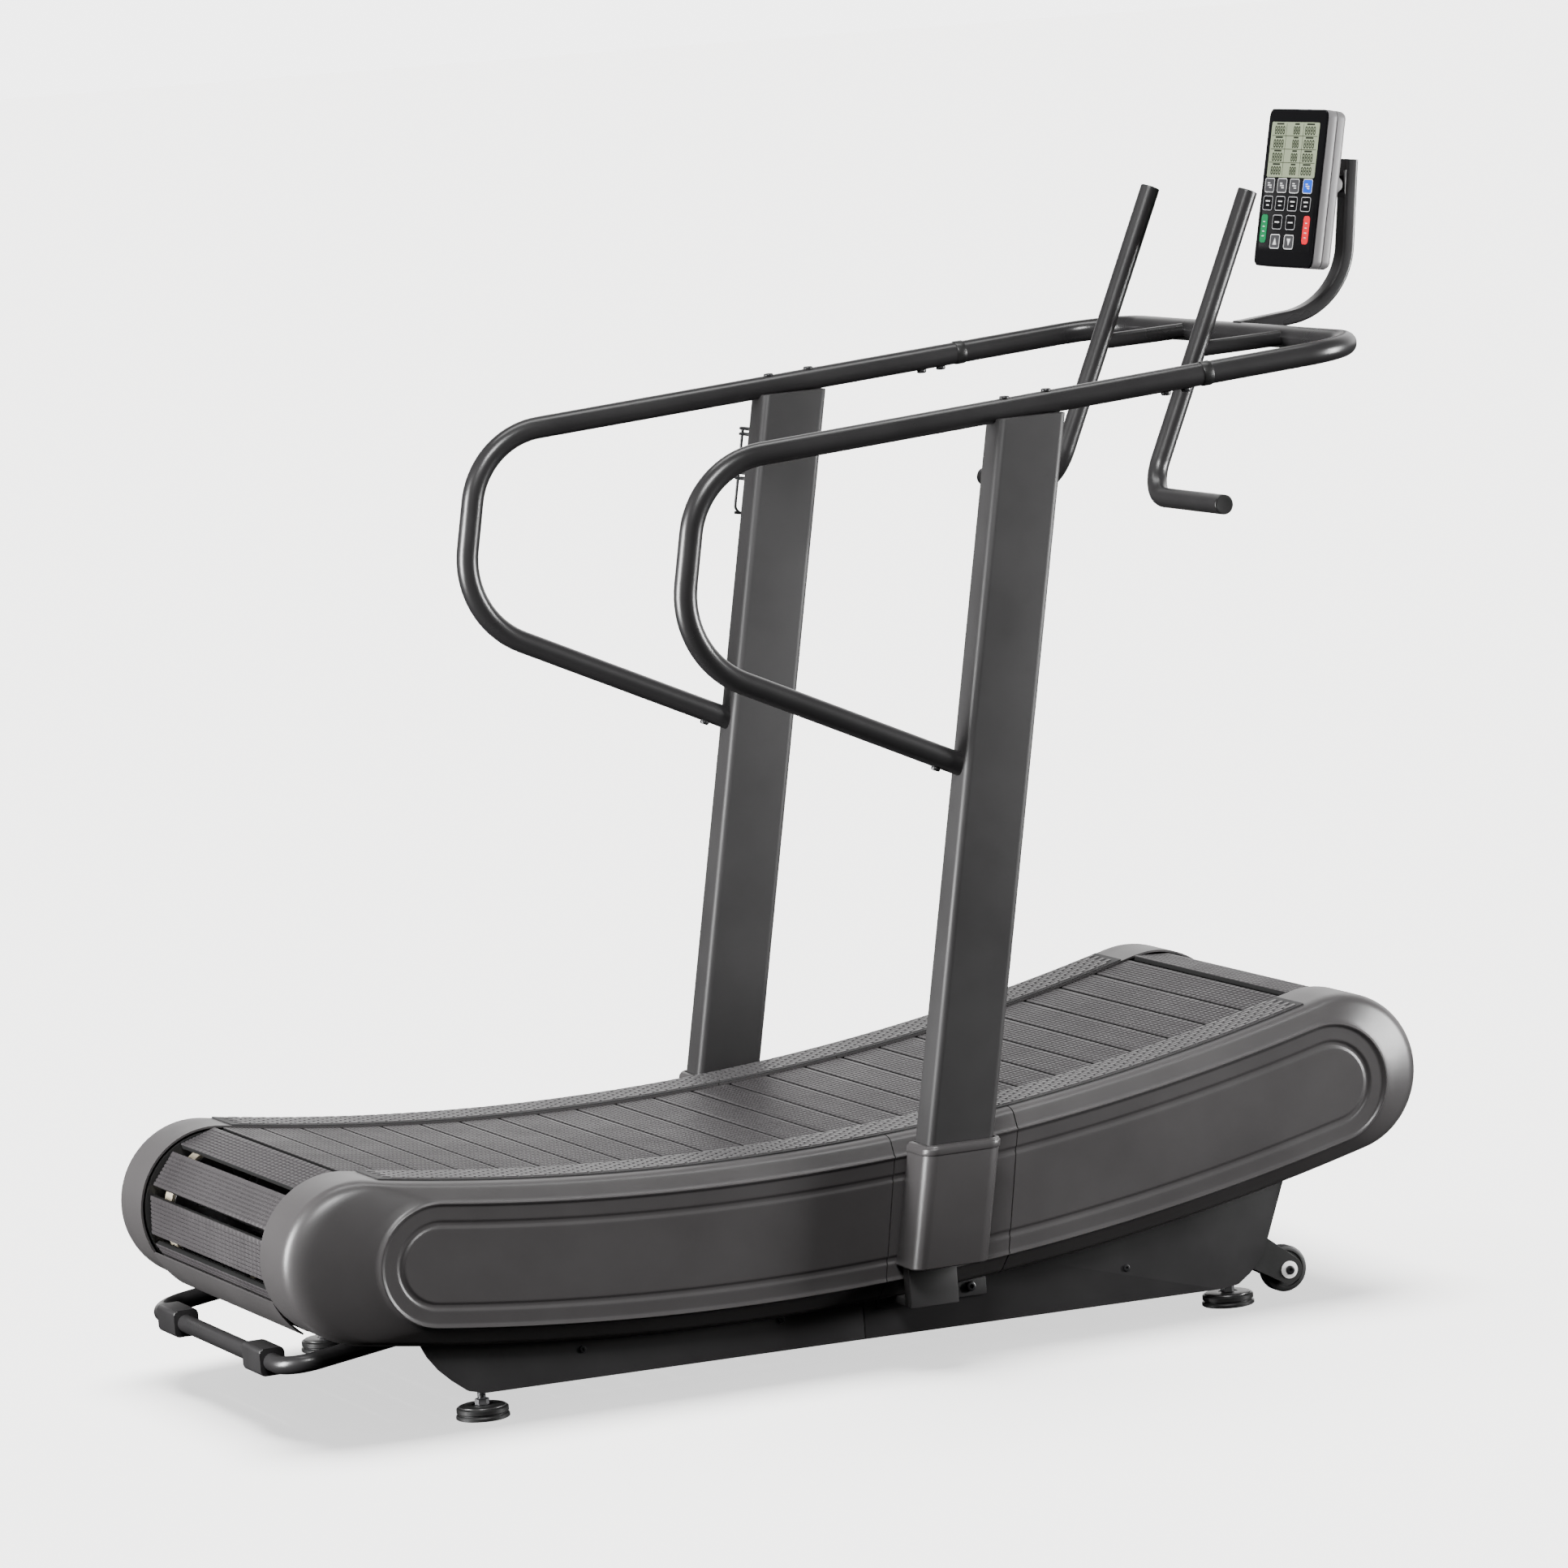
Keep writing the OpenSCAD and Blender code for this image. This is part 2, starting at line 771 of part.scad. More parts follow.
module pull_bar() {
  difference() {
    union() {
      tube([side_pt(bar_top, -bar_y), side_pt(bar_low, -bar_y), side_pt(bar_low, -bar_end_y)],
        [bar_bend], bar_r);
      rod([strut_x, -bar_y, strut_z], [loop_x, -bar_y, front_z], strut_r);
    }
    translate([loop_x, 0, front_z]) rotate([90, 0, 0])
      cylinder(h = 3 * bar_y, r = rail_r, center = true);
  }
}

module pull_bar_right() { color(graphite) pull_bar(); }
module pull_bar_left() { color(graphite) right_left(true) pull_bar(); }

plug_t = 3;
module bar_plugs() {
  top = side_pt(bar_top, -bar_y);
  low = side_pt(bar_low, -bar_end_y);
  color(rubber_black) for (side = [false, true]) right_left(side) {
    rod(top, top + plug_t * bar_dir, bar_r);
    rod(low, low + [0, -plug_t, 0], bar_r);
  }
}

bolt_r = 7;
bolt_h = 5;
module rail_head(x, under) {
  z = rail_z(x);
  difference() {
    translate([x, -rail_y, under ? z - rail_r - bolt_h : z + rail_r - 2]) cylinder(h = bolt_h + 2, r = bolt_r);
    rail_cut(x - 20, x + 20);
  }
}

module rail_bolts() {
  color(steel) for (side = [false, true]) right_left(side) {
    for (x = [506, 537]) rail_head(x, true);
    for (x = [263, 326]) rail_head(x, false);
    for (x = base_bolt_x) translate([x, -skirt_y - skirt_t - flange_t, base_bolt_z]) rotate([90, 0, 0])
      cylinder(h = bolt_h, r = bolt_r);
  }
}

// ---------- console ----------
stalk_w = 30;
stalk_d = 20;
stalk_round = 5;
stalk_pts = [[stalk_x, 0, 1346], [990, 0, 1361], [1017, 0, 1572]];
stalk_bend = 110;

// straight bar in the XZ plane with the given section
module bar_xz(p, q) {
  v = q - p;
  translate(p) rotate([0, acos(v[2] / norm(v)), 0]) linear_extrude(norm(v)) children();
}

module console_stalk() {
  c = cut_in(stalk_pts[0], stalk_pts[1], stalk_pts[2], stalk_bend);
  color(graphite) difference() {
    union() {
      bar_xz(stalk_pts[0], c[0] + seam * unit(stalk_pts[0] - c[0]))
        round_rect(stalk_d, stalk_w, stalk_round);
      bend(stalk_pts[0], stalk_pts[1], stalk_pts[2], stalk_bend)
        round_rect(stalk_d, stalk_w, stalk_round);
      bar_xz(c[1] + seam * unit(stalk_pts[2] - c[1]), stalk_pts[2])
        round_rect(stalk_d, stalk_w, stalk_round);
      core(c[0], unit(stalk_pts[1] - stalk_pts[0]), stalk_d / 2);
      core(c[1], unit(stalk_pts[2] - stalk_pts[1]), stalk_d / 2);
    }
    translate([loop_x, 0, front_z]) rotate([90, 0, 0]) cylinder(h = 80, r = rail_r, center = true);
  }
}

tongue_half = 9;
lug_gap = 0.3;
lug_t = 5;
knuckle_r = 12;

module console_bracket() {
  color(graphite) difference() {
    union() {
      axis_y([pin_x, pin_z], 0, 2 * tongue_half) circle(knuckle_r);
      translate([pin_x, -tongue_half, pin_z - knuckle_r])
        cube([28, 2 * tongue_half, 2 * knuckle_r]);
      translate([pin_x + 14, -stalk_w / 2, pin_z - 20]) cube([14, stalk_w, 40]);
    }
    axis_y([pin_x, pin_z], 0, 60) circle(pin_r + pin_gap);
    bar_xz(stalk_pts[1], stalk_pts[2] + 0.2 * (stalk_pts[2] - stalk_pts[1]))
      square([stalk_d, 2 * stalk_w], center = true);
    translate([pin_x + 30, -50, pin_z - 60]) cube([60, 100, 120]);
  }
}

module console_at() {
  translate(con_c) rotate([0, console_tilt, 0]) children();
}

// plate in the console's own frame, from depth x0 to x1
module plate_x(x0, x1) {
  translate([x0, 0, 0]) rotate([0, 90, 0]) rotate([0, 0, 90]) linear_extrude(x1 - x0) children();
}

shell_mid = 18;
shell_wall = 2.5;
console_round = 20;
lens_w = 172;
lens_h = 208;
lcd_y = [-76, 82];
lcd_z = [15, 95];

module console_outline(i) {
  round_rect(console_w - 2 * i, console_h - 2 * i, console_round - i);
}

module lcd_window(i) {
  translate([lcd_y[0] + i, lcd_z[0] + i])
    square([lcd_y[1] - lcd_y[0] - 2 * i, lcd_z[1] - lcd_z[0] - 2 * i]);
}

module console_back() {
  color(silver) {
    console_at() difference() {
      union() {
        plate_x(shell_mid, shell_mid + 1.5) console_outline(1);
        plate_x(shell_mid + 1.5, con_d - 3) console_outline(0);
        plate_x(con_d - 3, con_d) console_outline(3);
      }
      plate_x(shell_mid - 1, con_d - shell_wall - 3) console_outline(shell_wall + 1);
    }
    difference() {
      for (side = [-1, 1]) axis_y([pin_x, pin_z], side * (tongue_half + lug_gap + lug_t / 2), lug_t) {
        circle(knuckle_r);
        rotate(-console_tilt) translate([-34, -knuckle_r]) square([34, 2 * knuckle_r]);
      }
      console_at() plate_x(shell_mid - 4, con_d - shell_wall) console_outline(10);
    }
    axis_y([pin_x, pin_z], 0, 2 * (tongue_half + lug_gap + lug_t) + 4) circle(pin_r);
  }
}

module console_front() {
  color(silver) console_at() difference() {
    union() {
      plate_x(0.5, 3) console_outline(2);
      plate_x(3, shell_mid) console_outline(0);
    }
    plate_x(8, shell_mid + 1) console_outline(shell_wall + 1);
    plate_x(0, 5) round_rect(lens_w, lens_h, 12);
  }
}

module console_lens() {
  color(rubber_black) console_at() difference() {
    plate_x(1, 5) round_rect(lens_w, lens_h, 12);
    plate_x(0, 6) lcd_window(0);
  }
}

module lcd() {
  color([0.62, 0.66, 0.62]) console_at() plate_x(1.6, 5) lcd_window(0);
}

key_cols = [68, 27, -14, -58];
key_w = 35;
key_h = 17;
wide_keys = [
  for (y = key_cols) [y, 3], for (y = key_cols) [y, -23], [30, -50], [-14, -50], [31, -78], [-15, -78]
];
tall_keys = [[73, -60], [-67, -60]];
film_t = 0.4;
pad_h = 0.6;

module keypad() {
  color([0.8, 0.8, 0.8]) console_at() {
    plate_x(1 - film_t, 1) translate([0, -40]) round_rect(168, 106, 8);
    for (k = wide_keys) plate_x(1 - film_t - pad_h, 1) translate(k) round_rect(key_w, key_h, 4);
    for (k = tall_keys) plate_x(1 - film_t - pad_h, 1) translate(k) round_rect(22, 40, 6);
  }
}

// ---------- bottle cage ----------
wire_r = 2.5;
upright_wire_r = 2.1;
low_wire_r = 1.8;
cage_r = 38;
cage_z = [1230, 1166];
cage_y = rail_y + upright_t / 2 + cage_r + 4;
cage_low = 1108;

function cage_c(z) = [upright_x(z), cage_y, z];

module cage_ring(z) {
  translate(cage_c(z)) rotate([0, lean, 0]) rotate_extrude($fn = 64)
    translate([cage_r, 0]) circle(wire_r);
}

module bottle_cage() {
  tilt = [sin(lean), 0, cos(lean)];
  top = cage_c(cage_z[0]);
  low = cage_c(cage_low);
  out = [cage_r * cos(lean), 0, -cage_r * sin(lean)];
  color(rubber_black) {
    for (z = cage_z) cage_ring(z);
    for (v = [out, -out, [0, cage_r, 0]]) rod(low + v - 4 * tilt, top + v, upright_wire_r);
    rod(low - out, low + out, low_wire_r);
    rod(low + [0, -cage_r, 0], low + [0, cage_r, 0], low_wire_r);
    translate(low - 10 * tilt) rotate([0, lean, 0])
      translate([-9, -cage_r - 4, 0]) cube([18, 5, norm(top - low) + 20]);
  }
}

// ---------- rear handle, feet and wheels ----------
handle_x = -835;
handle_z = 100;
handle_y = 293;
handle_r = 12.5;
handle_bend = 45;
arm_end = [gussets[0] - 2.2, 133];

module rear_handle() {
  color(graphite) tube([side_pt(arm_end, -handle_y), side_pt([handle_x, handle_z], -handle_y),
    side_pt([handle_x, handle_z], handle_y), side_pt(arm_end, handle_y)],
    [handle_bend, handle_bend], handle_r);
}

block_y = 187;
block_w = 76;
module handle_blocks() {
  color(charcoal) for (side = [-1, 1]) difference() {
    axis_y([handle_x + 1, handle_z], side * block_y, block_w) round_rect(36, 38, 6);
    axis_y([handle_x, handle_z], side * block_y, block_w + 2) circle(handle_r);
    for (d = [-26, 26]) translate([handle_x - 18, side * block_y + d, handle_z]) rotate([0, 90, 0])
      cylinder(h = 4, r = 3, center = true);
  }
}

washer_r = 12.5;
washer_t = 1.5;
module axle_bolts() {
  color(steel) for (side = [false, true]) right_left(side) {
    slab(rail_beam_y0 - 6, rail_beam_y1 + washer_t) translate([wheel_x, wheel_z]) circle(axle_r);
    slab(rail_beam_y0 - 6, rail_beam_y0) translate([wheel_x, wheel_z]) circle(9, $fn = 6);
    slab(rail_beam_y1, rail_beam_y1 + washer_t) translate([wheel_x, wheel_z]) circle(washer_r);
    slab(rail_beam_y1 + washer_t, rail_beam_y1 + washer_t + 4)
      translate([wheel_x, wheel_z]) circle(6.5);
  }
}

module wheel() {
  slab(wheel_y - wheel_w / 2, wheel_y + wheel_w / 2) translate([wheel_x, wheel_z]) difference() {
    circle(wheel_r, $fn = 64);
    circle(axle_r + pin_gap);
  }
}

module wheel_right() { color(rubber_black) wheel(); }
module wheel_left() { color(rubber_black) right_left(true) wheel(); }

stud_top = 104;
nut_r = 10;
nut_z0 = 53;
foot_h = 18.5;
base_nut_h = 9;
// bottom, top and inset of each tier of the pad
foot_tiers = [[0, 6, 0], [6, 8, 3], [8, 16, 1], [16, foot_h, 4]];
module levelling_foot(x) {
  translate([x, -foot_y, 0]) {
    for (t = foot_tiers) translate([0, 0, t[0]]) cylinder(h = t[1] - t[0], r = foot_r - t[2]);
    translate([0, 0, foot_h - 0.5]) cylinder(h = base_nut_h, r = nut_r, $fn = 6);
    translate([0, 0, foot_h + base_nut_h - 1.5]) cylinder(h = stud_top - foot_h - base_nut_h + 1.5, r = stud_r);
  }
}

module foot_rear_right() { color(rubber_black) levelling_foot(foot_x[0]); }
module foot_rear_left() { color(rubber_black) right_left(true) levelling_foot(foot_x[0]); }
module foot_front_right() { color(rubber_black) levelling_foot(foot_x[1]); }
module foot_front_left() { color(rubber_black) right_left(true) levelling_foot(foot_x[1]); }

module locknuts() {
  color(steel) for (x = foot_x, side = [-1, 1]) translate([x, side * foot_y, nut_z0]) difference() {
    cylinder(h = beam_z0 - nut_z0, r = nut_r, $fn = 6);
    translate([0, 0, -1]) cylinder(h = beam_z0 - nut_z0 + 2, r = stud_r + pin_gap);
  }
}

screw_r = 5;
screw_shank_r = 3;
module skirt_screws() {
  color(rubber_black) for (side = [false, true], x = skirt_screw) right_left(side)
    translate([x, -skirt_y, skirt_screw_z]) rotate([90, 0, 0]) {
      cylinder(h = skirt_t + 1, r = screw_shank_r);
      translate([0, 0, skirt_t]) cylinder(h = 2, r = screw_r);
    }
}

side_frame_right();
side_frame_left();
cross_members();
skirt_right();
skirt_left();
rear_cover_right();
rear_cover_left();
centre_cover_right();
centre_cover_left();
front_cover_right();
front_cover_left();
tread_strip_right();
tread_strip_left();
boot_right();
boot_left();
upright_right();
upright_left();
handrail_right();
handrail_left();
front_loop();
pull_bar_right();
pull_bar_left();
bar_plugs();
console_stalk();
console_bracket();
bottle_cage();
bearing_blocks();
deck_bearings();
drive_belts();
axle_bolts();
rear_handle();
handle_blocks();
rear_panel();
rail_bolts();
skirt_screws();
locknuts();
console_back();
console_front();
console_lens();
lcd();
keypad();
rear_shaft();
rear_pulleys();
front_shaft();
front_pulleys();
slats_top();
slats_front();
slats_return();
slats_rear();
slat_front_top();
slat_front_low();
slat_rear_low();
slat_rear_top();
foot_rear_right();
foot_rear_left();
foot_front_right();
foot_front_left();
wheel_right();
wheel_left();
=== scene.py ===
"""Looks of the curved manual treadmill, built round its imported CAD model.

Lengths in the shape functions are millimetres and are scaled to metres as meshes are made.
X runs forward to the console, Y to the runner's left, Z up.
"""

import math

import bmesh
import bpy
from mathutils import Matrix, Vector


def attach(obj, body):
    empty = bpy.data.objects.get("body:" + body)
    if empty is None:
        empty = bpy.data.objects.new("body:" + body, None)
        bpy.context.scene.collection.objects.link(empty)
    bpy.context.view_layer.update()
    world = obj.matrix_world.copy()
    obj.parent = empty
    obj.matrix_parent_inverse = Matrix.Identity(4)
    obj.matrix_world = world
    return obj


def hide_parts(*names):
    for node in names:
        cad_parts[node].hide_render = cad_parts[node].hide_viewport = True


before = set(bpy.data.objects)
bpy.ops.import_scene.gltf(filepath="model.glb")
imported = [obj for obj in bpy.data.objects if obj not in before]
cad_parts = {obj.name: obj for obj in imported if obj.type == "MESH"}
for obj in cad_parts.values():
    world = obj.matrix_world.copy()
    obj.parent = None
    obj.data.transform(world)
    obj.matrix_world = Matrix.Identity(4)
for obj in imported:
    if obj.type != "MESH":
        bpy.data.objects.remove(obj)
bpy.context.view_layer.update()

MM = 0.001
RIGHT, LEFT = -1, 1
SIDES = ((RIGHT, "right"), (LEFT, "left"))
UP = Vector((0, 0, 1))
rad = math.radians

# -------- belt path
SHAFT_SPAN, REAR_Z, FRONT_Z = 1450.0, 236.0, 305.0
WRAP_R, ARC_R, PITCH_DEPTH = 114.0, 3500.0, 15.0
SLATS, SLAT_HALF = 59, 258.0
REAR = Vector((-SHAFT_SPAN / 2, REAR_Z))
FRONT = Vector((SHAFT_SPAN / 2, FRONT_Z))
RUN = FRONT - REAR
BETA = math.atan2(RUN.y, RUN.x)
RISE = math.sqrt((ARC_R + WRAP_R) ** 2 - (RUN.length / 2) ** 2)
ARC_C = (REAR + FRONT) / 2 + RISE * Vector((-math.sin(BETA), math.cos(BETA)))
RUN_R, BEND_R = ARC_R + PITCH_DEPTH, WRAP_R - PITCH_DEPTH
TH_REAR = math.atan2(REAR.y - ARC_C.y, REAR.x - ARC_C.x)
TH_FRONT = math.atan2(FRONT.y - ARC_C.y, FRONT.x - ARC_C.x)
S1 = RUN_R * (TH_FRONT - TH_REAR)
S2 = S1 + BEND_R * (TH_FRONT + rad(270) - BETA)
S3 = S2 + RUN.length
S4 = S3 + BEND_R * (BETA + rad(90) - TH_REAR)
PITCH = S4 / SLATS
S_FIRST = (S1 - PITCH / 2) % PITCH

# -------- covers
NOSE_R, COVER_ARC = 113.0, 3498.0
COVER_MID = COVER_ARC + NOSE_R
RIM_Y, ROUND_Y, FACE_Y = 262.0, 362.0, 400.0
PANEL_MID, PANEL_R = 3608.5, 84.5
PANEL_X = (-642.0, 700.0)
UNDER_X = (-735.0, 735.0)
NOSE_X = (-739.0, 735.0)
SEAM_SLOPE, SEAM_Z, SEAM_GAP = 0.158, 117.0, 1.5
SEAM_X = (3.0, 187.0)
COVER_WALL = 3.0

# -------- rails
RAIL_R, RAIL_Y, RAIL_SLOPE = 16.0, 429.0, 0.067
LEAN = rad(10.75)
UPRIGHT_W, UPRIGHT_T = 98.0, 56.0
FOOT_X, FOOT_Y = (-573.0, 550.0), 324.0
WHEEL, AXLE_Y = Vector((638.0, 324.0, 40.0)), (296.0, 349.0)
CONSOLE_C, CONSOLE_TILT = Vector((920.0, 0.0, 1539.0)), rad(11.4)


def rail_z(x):
    return 1282.7 + RAIL_SLOPE * x


def upright_x(z):
    return 107.5 + (z - 310.0) * math.tan(LEAN)


def polar(r, a):
    return ARC_C + r * Vector((math.cos(a), math.sin(a)))


def arc_angle(x, r):
    return -math.acos((x - ARC_C.x) / r)


# ======== materials
def node(tree, kind, inputs=(), **values):
    """A shader node; inputs maps its sockets to plain values or to sockets that feed them."""
    made = tree.nodes.new(kind)
    for key, value in values.items():
        setattr(made, key, value)
    for key, value in dict(inputs).items():
        if isinstance(value, bpy.types.NodeSocket):
            tree.links.new(value, made.inputs[key])
        else:
            made.inputs[key].default_value = value
    return made


def noise(tree, coords, scale, detail=4.0, rough=0.6):
    inputs = {"Vector": coords, "Scale": scale, "Detail": detail, "Roughness": rough}
    return node(tree, "ShaderNodeTexNoise", inputs).outputs["Fac"]


def ramp(tree, value, low, high, out_low, out_high, **more):
    """value from low to high mapped to out_low to out_high."""
    inputs = {"Value": value, "From Min": low, "From Max": high, "To Min": out_low, "To Max": out_high}
    return node(tree, "ShaderNodeMapRange", inputs, **more).outputs["Result"]


def spread(tree, fac, low, high):
    """The middle of a noise, 0.3 to 0.7, mapped to low to high."""
    return ramp(tree, fac, 0.3, 0.7, low, high)


def mixed(tree, fac, a, b):
    """Colour from a to b as fac goes from 0 to 1."""
    return node(tree, "ShaderNodeMix", {"Factor": fac, 6: a, 7: b}, data_type="RGBA").outputs[2]


def shade(colour, by):
    return (*(min(1.0, c * by) for c in colour), 1.0)


def bump_of(tree, height, strength, distance, **below):
    inputs = {"Strength": strength, "Distance": distance, "Height": height, **below}
    return node(tree, "ShaderNodeBump", inputs).outputs["Normal"]


def math_node(tree, operation, *values):
    return node(tree, "ShaderNodeMath", enumerate(values), operation=operation).outputs[0]


def material(name, colour, rough, metal=0.0, grain=1400.0, depth=0.00012, mottle=0.1, wear=1.35,
             specular=0.5, weave=None):
    """A procedural finish: fine grain, slow mottling, roughness patches and paler worn edges."""
    made = bpy.data.materials.new(name)
    made.use_nodes = True
    tree = made.node_tree
    tree.nodes.clear()
    coords = node(tree, "ShaderNodeTexCoord").outputs["Object"]
    slow = noise(tree, coords, 7.0, 3.0)
    fine = noise(tree, coords, grain, 3.0, 0.7)
    speck = noise(tree, coords, grain * 0.23, 2.0)
    edge = ramp(tree, node(tree, "ShaderNodeNewGeometry").outputs["Pointiness"], 0.53, 0.62, 0.0, 0.6)
    base = mixed(tree, spread(tree, slow, 0.0, 1.0), shade(colour, 1 - mottle), shade(colour, 1 + mottle))
    base = mixed(tree, spread(tree, speck, 0.0, 0.35), base, shade(colour, 1 + 2 * mottle))
    normal = bump_of(tree, fine, 0.6, depth)
    shader = node(tree, "ShaderNodeBsdfPrincipled", {
        "Metallic": metal, "Specular IOR Level": specular,
        "Base Color": mixed(tree, edge, base, shade(colour, wear)),
        "Roughness": spread(tree, slow, rough * 0.88, min(1.0, rough * 1.14)),
        "Normal": weave_bump(tree, coords, weave, normal) if weave else normal})
    node(tree, "ShaderNodeOutputMaterial", {"Surface": shader.outputs["BSDF"]})
    return made


def weave_bump(tree, coords, weave, below):
    """Fine parallel ribs across Y, every weave metres."""
    y = node(tree, "ShaderNodeSeparateXYZ", {"Vector": coords}).outputs["Y"]
    wave = math_node(tree, "SINE", math_node(tree, "MULTIPLY", y, 2 * math.pi / weave))
    return bump_of(tree, wave, 0.6, 0.0007, Normal=below)


FINISHES = {
    "graphite_paint": ((0.016, 0.0155, 0.016), 0.30, dict(grain=2600, depth=0.00004)),
    "upright_paint": ((0.026, 0.0252, 0.0257), 0.5, dict(grain=2600, depth=0.00006, mottle=0.05,
                     wear=1.02, specular=0.35)),
    "black_paint": ((0.012, 0.012, 0.012), 0.45, dict()),
    "skirt_paint": ((0.012, 0.0115, 0.012), 0.42, dict()),
    "cover_plastic": ((0.046, 0.0435, 0.044), 0.36, dict(grain=1900, depth=0.0001, mottle=0.05, wear=1.12)),
    "strip_rubber": ((0.014, 0.0135, 0.014), 0.6, dict(grain=900)),
    # painted shade: near-black finish for slat sides, undersides and ends, standing in for the shade in the
    # gaps between slats
    "slat_gap_shade": ((0.004, 0.004, 0.004), 0.7, dict(grain=800, specular=0.2)),
    # grey rubber for the raised dashes, made paler partly as a painted highlight on their tops
    "dash_grey_and_highlight": ((0.050, 0.048, 0.049), 0.42, dict(grain=900)),
    "slat_rubber": ((0.030, 0.0275, 0.029), 0.46, dict(grain=800, weave=0.0165, specular=0.36)),
    "belt_rubber": ((0.34, 0.30, 0.22), 0.6, dict()),
    "steel": ((0.30, 0.30, 0.31), 0.32, dict(metal=1.0, grain=500, depth=0.00004)),
    "bolt_black": ((0.010, 0.010, 0.011), 0.35, dict(grain=700)),
    "black_plastic": ((0.011, 0.011, 0.011), 0.34, dict()),
    "wheel_rubber": ((0.010, 0.010, 0.010), 0.5, dict()),
    "white_nylon": ((0.78, 0.78, 0.77), 0.4, dict(wear=1.05)),
    "silver_plastic": ((0.135, 0.131, 0.133), 0.42, dict(mottle=0.04, wear=1.1)),
    "lens_gloss": ((0.003, 0.003, 0.0035), 0.14, dict(specular=0.22, depth=0.00001, wear=1.1)),
    "lcd_panel": ((0.19, 0.22, 0.145), 0.4, dict(mottle=0.04, depth=0.00001, wear=1.02, specular=0.15)),
    "ink_dark": ((0.012, 0.014, 0.01), 0.6, dict(depth=0.00001, specular=0.1)),
    "ink_white": ((0.50, 0.50, 0.50), 0.5, dict(depth=0.00001, wear=1.02)),
    "ink_grey": ((0.30, 0.30, 0.31), 0.5, dict(depth=0.00001, wear=1.02)),
    "key_black": ((0.004, 0.004, 0.0045), 0.25, dict(depth=0.00002, specular=0.2)),
    "key_grey": ((0.035, 0.035, 0.037), 0.4, dict(depth=0.00003, specular=0.2)),
    "key_blue": ((0.004, 0.055, 0.42), 0.35, dict(depth=0.00003, specular=0.2)),
    "key_green": ((0.005, 0.13, 0.045), 0.35, dict(depth=0.00003, specular=0.2)),
    "key_red": ((0.50, 0.008, 0.018), 0.35, dict(depth=0.00003, specular=0.2)),
}
FINISH = {key: material(key.title().replace("_", ""), colour, rough, **more)
          for key, (colour, rough, more) in FINISHES.items()}


# ======== mesh tools
def place(name, bm, finish, body="frame", stands_for=(), sharp=35.0, mirror=False, close=True):
    """Turns a bmesh in millimetres into a finished piece riding on a body.
    """
    bmesh.ops.scale(bm, vec=(MM, MM, MM), verts=bm.verts)
    if mirror:
        bmesh.ops.scale(bm, vec=(1, -1, 1), verts=bm.verts)
        bmesh.ops.reverse_faces(bm, faces=bm.faces)
    if close:
        bmesh.ops.recalc_face_normals(bm, faces=bm.faces)
    mesh = bpy.data.meshes.new(name)
    bm.to_mesh(mesh)
    bm.free()
    mesh.polygons.foreach_set("use_smooth", [True] * len(mesh.polygons))
    mesh.set_sharp_from_angle(angle=rad(sharp))
    mesh.materials.append(FINISH[finish])
    piece = bpy.data.objects.new(name, mesh)
    bpy.context.scene.collection.objects.link(piece)
    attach(piece, body)
    if stands_for:
        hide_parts(*stands_for)
    return piece


def ring(bm, points):
    return [bm.verts.new(p) for p in points]


def skin(bm, rings):
    """Quads between closed rings of equal length."""
    n = len(rings[0])
    for a, b in zip(rings, rings[1:]):
        for i in range(n):
            j = (i + 1) % n
            bm.faces.new((a[i], a[j], b[j], b[i]))


def loft(rows, bm=None):
    """Skins rows of points into a closed body with both ends filled."""
    bm = bm or bmesh.new()
    rings = [ring(bm, row) for row in rows]
    skin(bm, rings)
    bm.faces.new(rings[0])
    bm.faces.new(rings[-1])
    return bm


def round_corners(points, radius, steps=8):
    """A closed outline with each corner rounded; radius is one number or one per corner."""
    out, n = [], len(points)
    for i, here in enumerate(points):
        here = Vector(here)
        before, after = Vector(points[i - 1]), Vector(points[(i + 1) % n])
        u, v = (before - here).normalized(), (after - here).normalized()
        r = radius[i] if isinstance(radius, (list, tuple)) else radius
        half = u.angle(v) / 2
        reach = r / math.tan(half)
        if r < 0.01:
            out.append(here)
            continue
        centre = here + (u + v).normalized() * (r / math.sin(half))
        a, b = here + u * reach - centre, here + v * reach - centre
        turn = a.angle(b)
        for k in range(steps + 1):
            t = k / steps
            out.append(centre + (a * math.sin((1 - t) * turn) + b * math.sin(t * turn)) / math.sin(turn))
    return out


def rect(w, h, r, steps=6, inset=0.0):
    w, h, r = w / 2 - inset, h / 2 - inset, max(r - inset, 0.3)
    return round_corners([(-w, -h), (w, -h), (w, h), (-w, h)], r, steps)


def bent_path(points, radii, step=4.0):
    """Points along a polyline whose inner corners are arcs."""
    pts = [Vector(p) for p in points]
    path = [pts[0]]
    for i, r in enumerate(radii, 1):
        a, b, c = pts[i - 1], pts[i], pts[i + 1]
        u, v = (b - a).normalized(), (c - b).normalized()
        turn = u.angle(v)
        start = b - u * r * math.tan(turn / 2)
        inward = (v - u * u.dot(v)).normalized()
        n = max(3, int(math.degrees(turn) / step))
        for k in range(n + 1):
            t = turn * k / n
            path.append(start + u * r * math.sin(t) + inward * r * (1 - math.cos(t)))
    path.append(pts[-1])
    return path


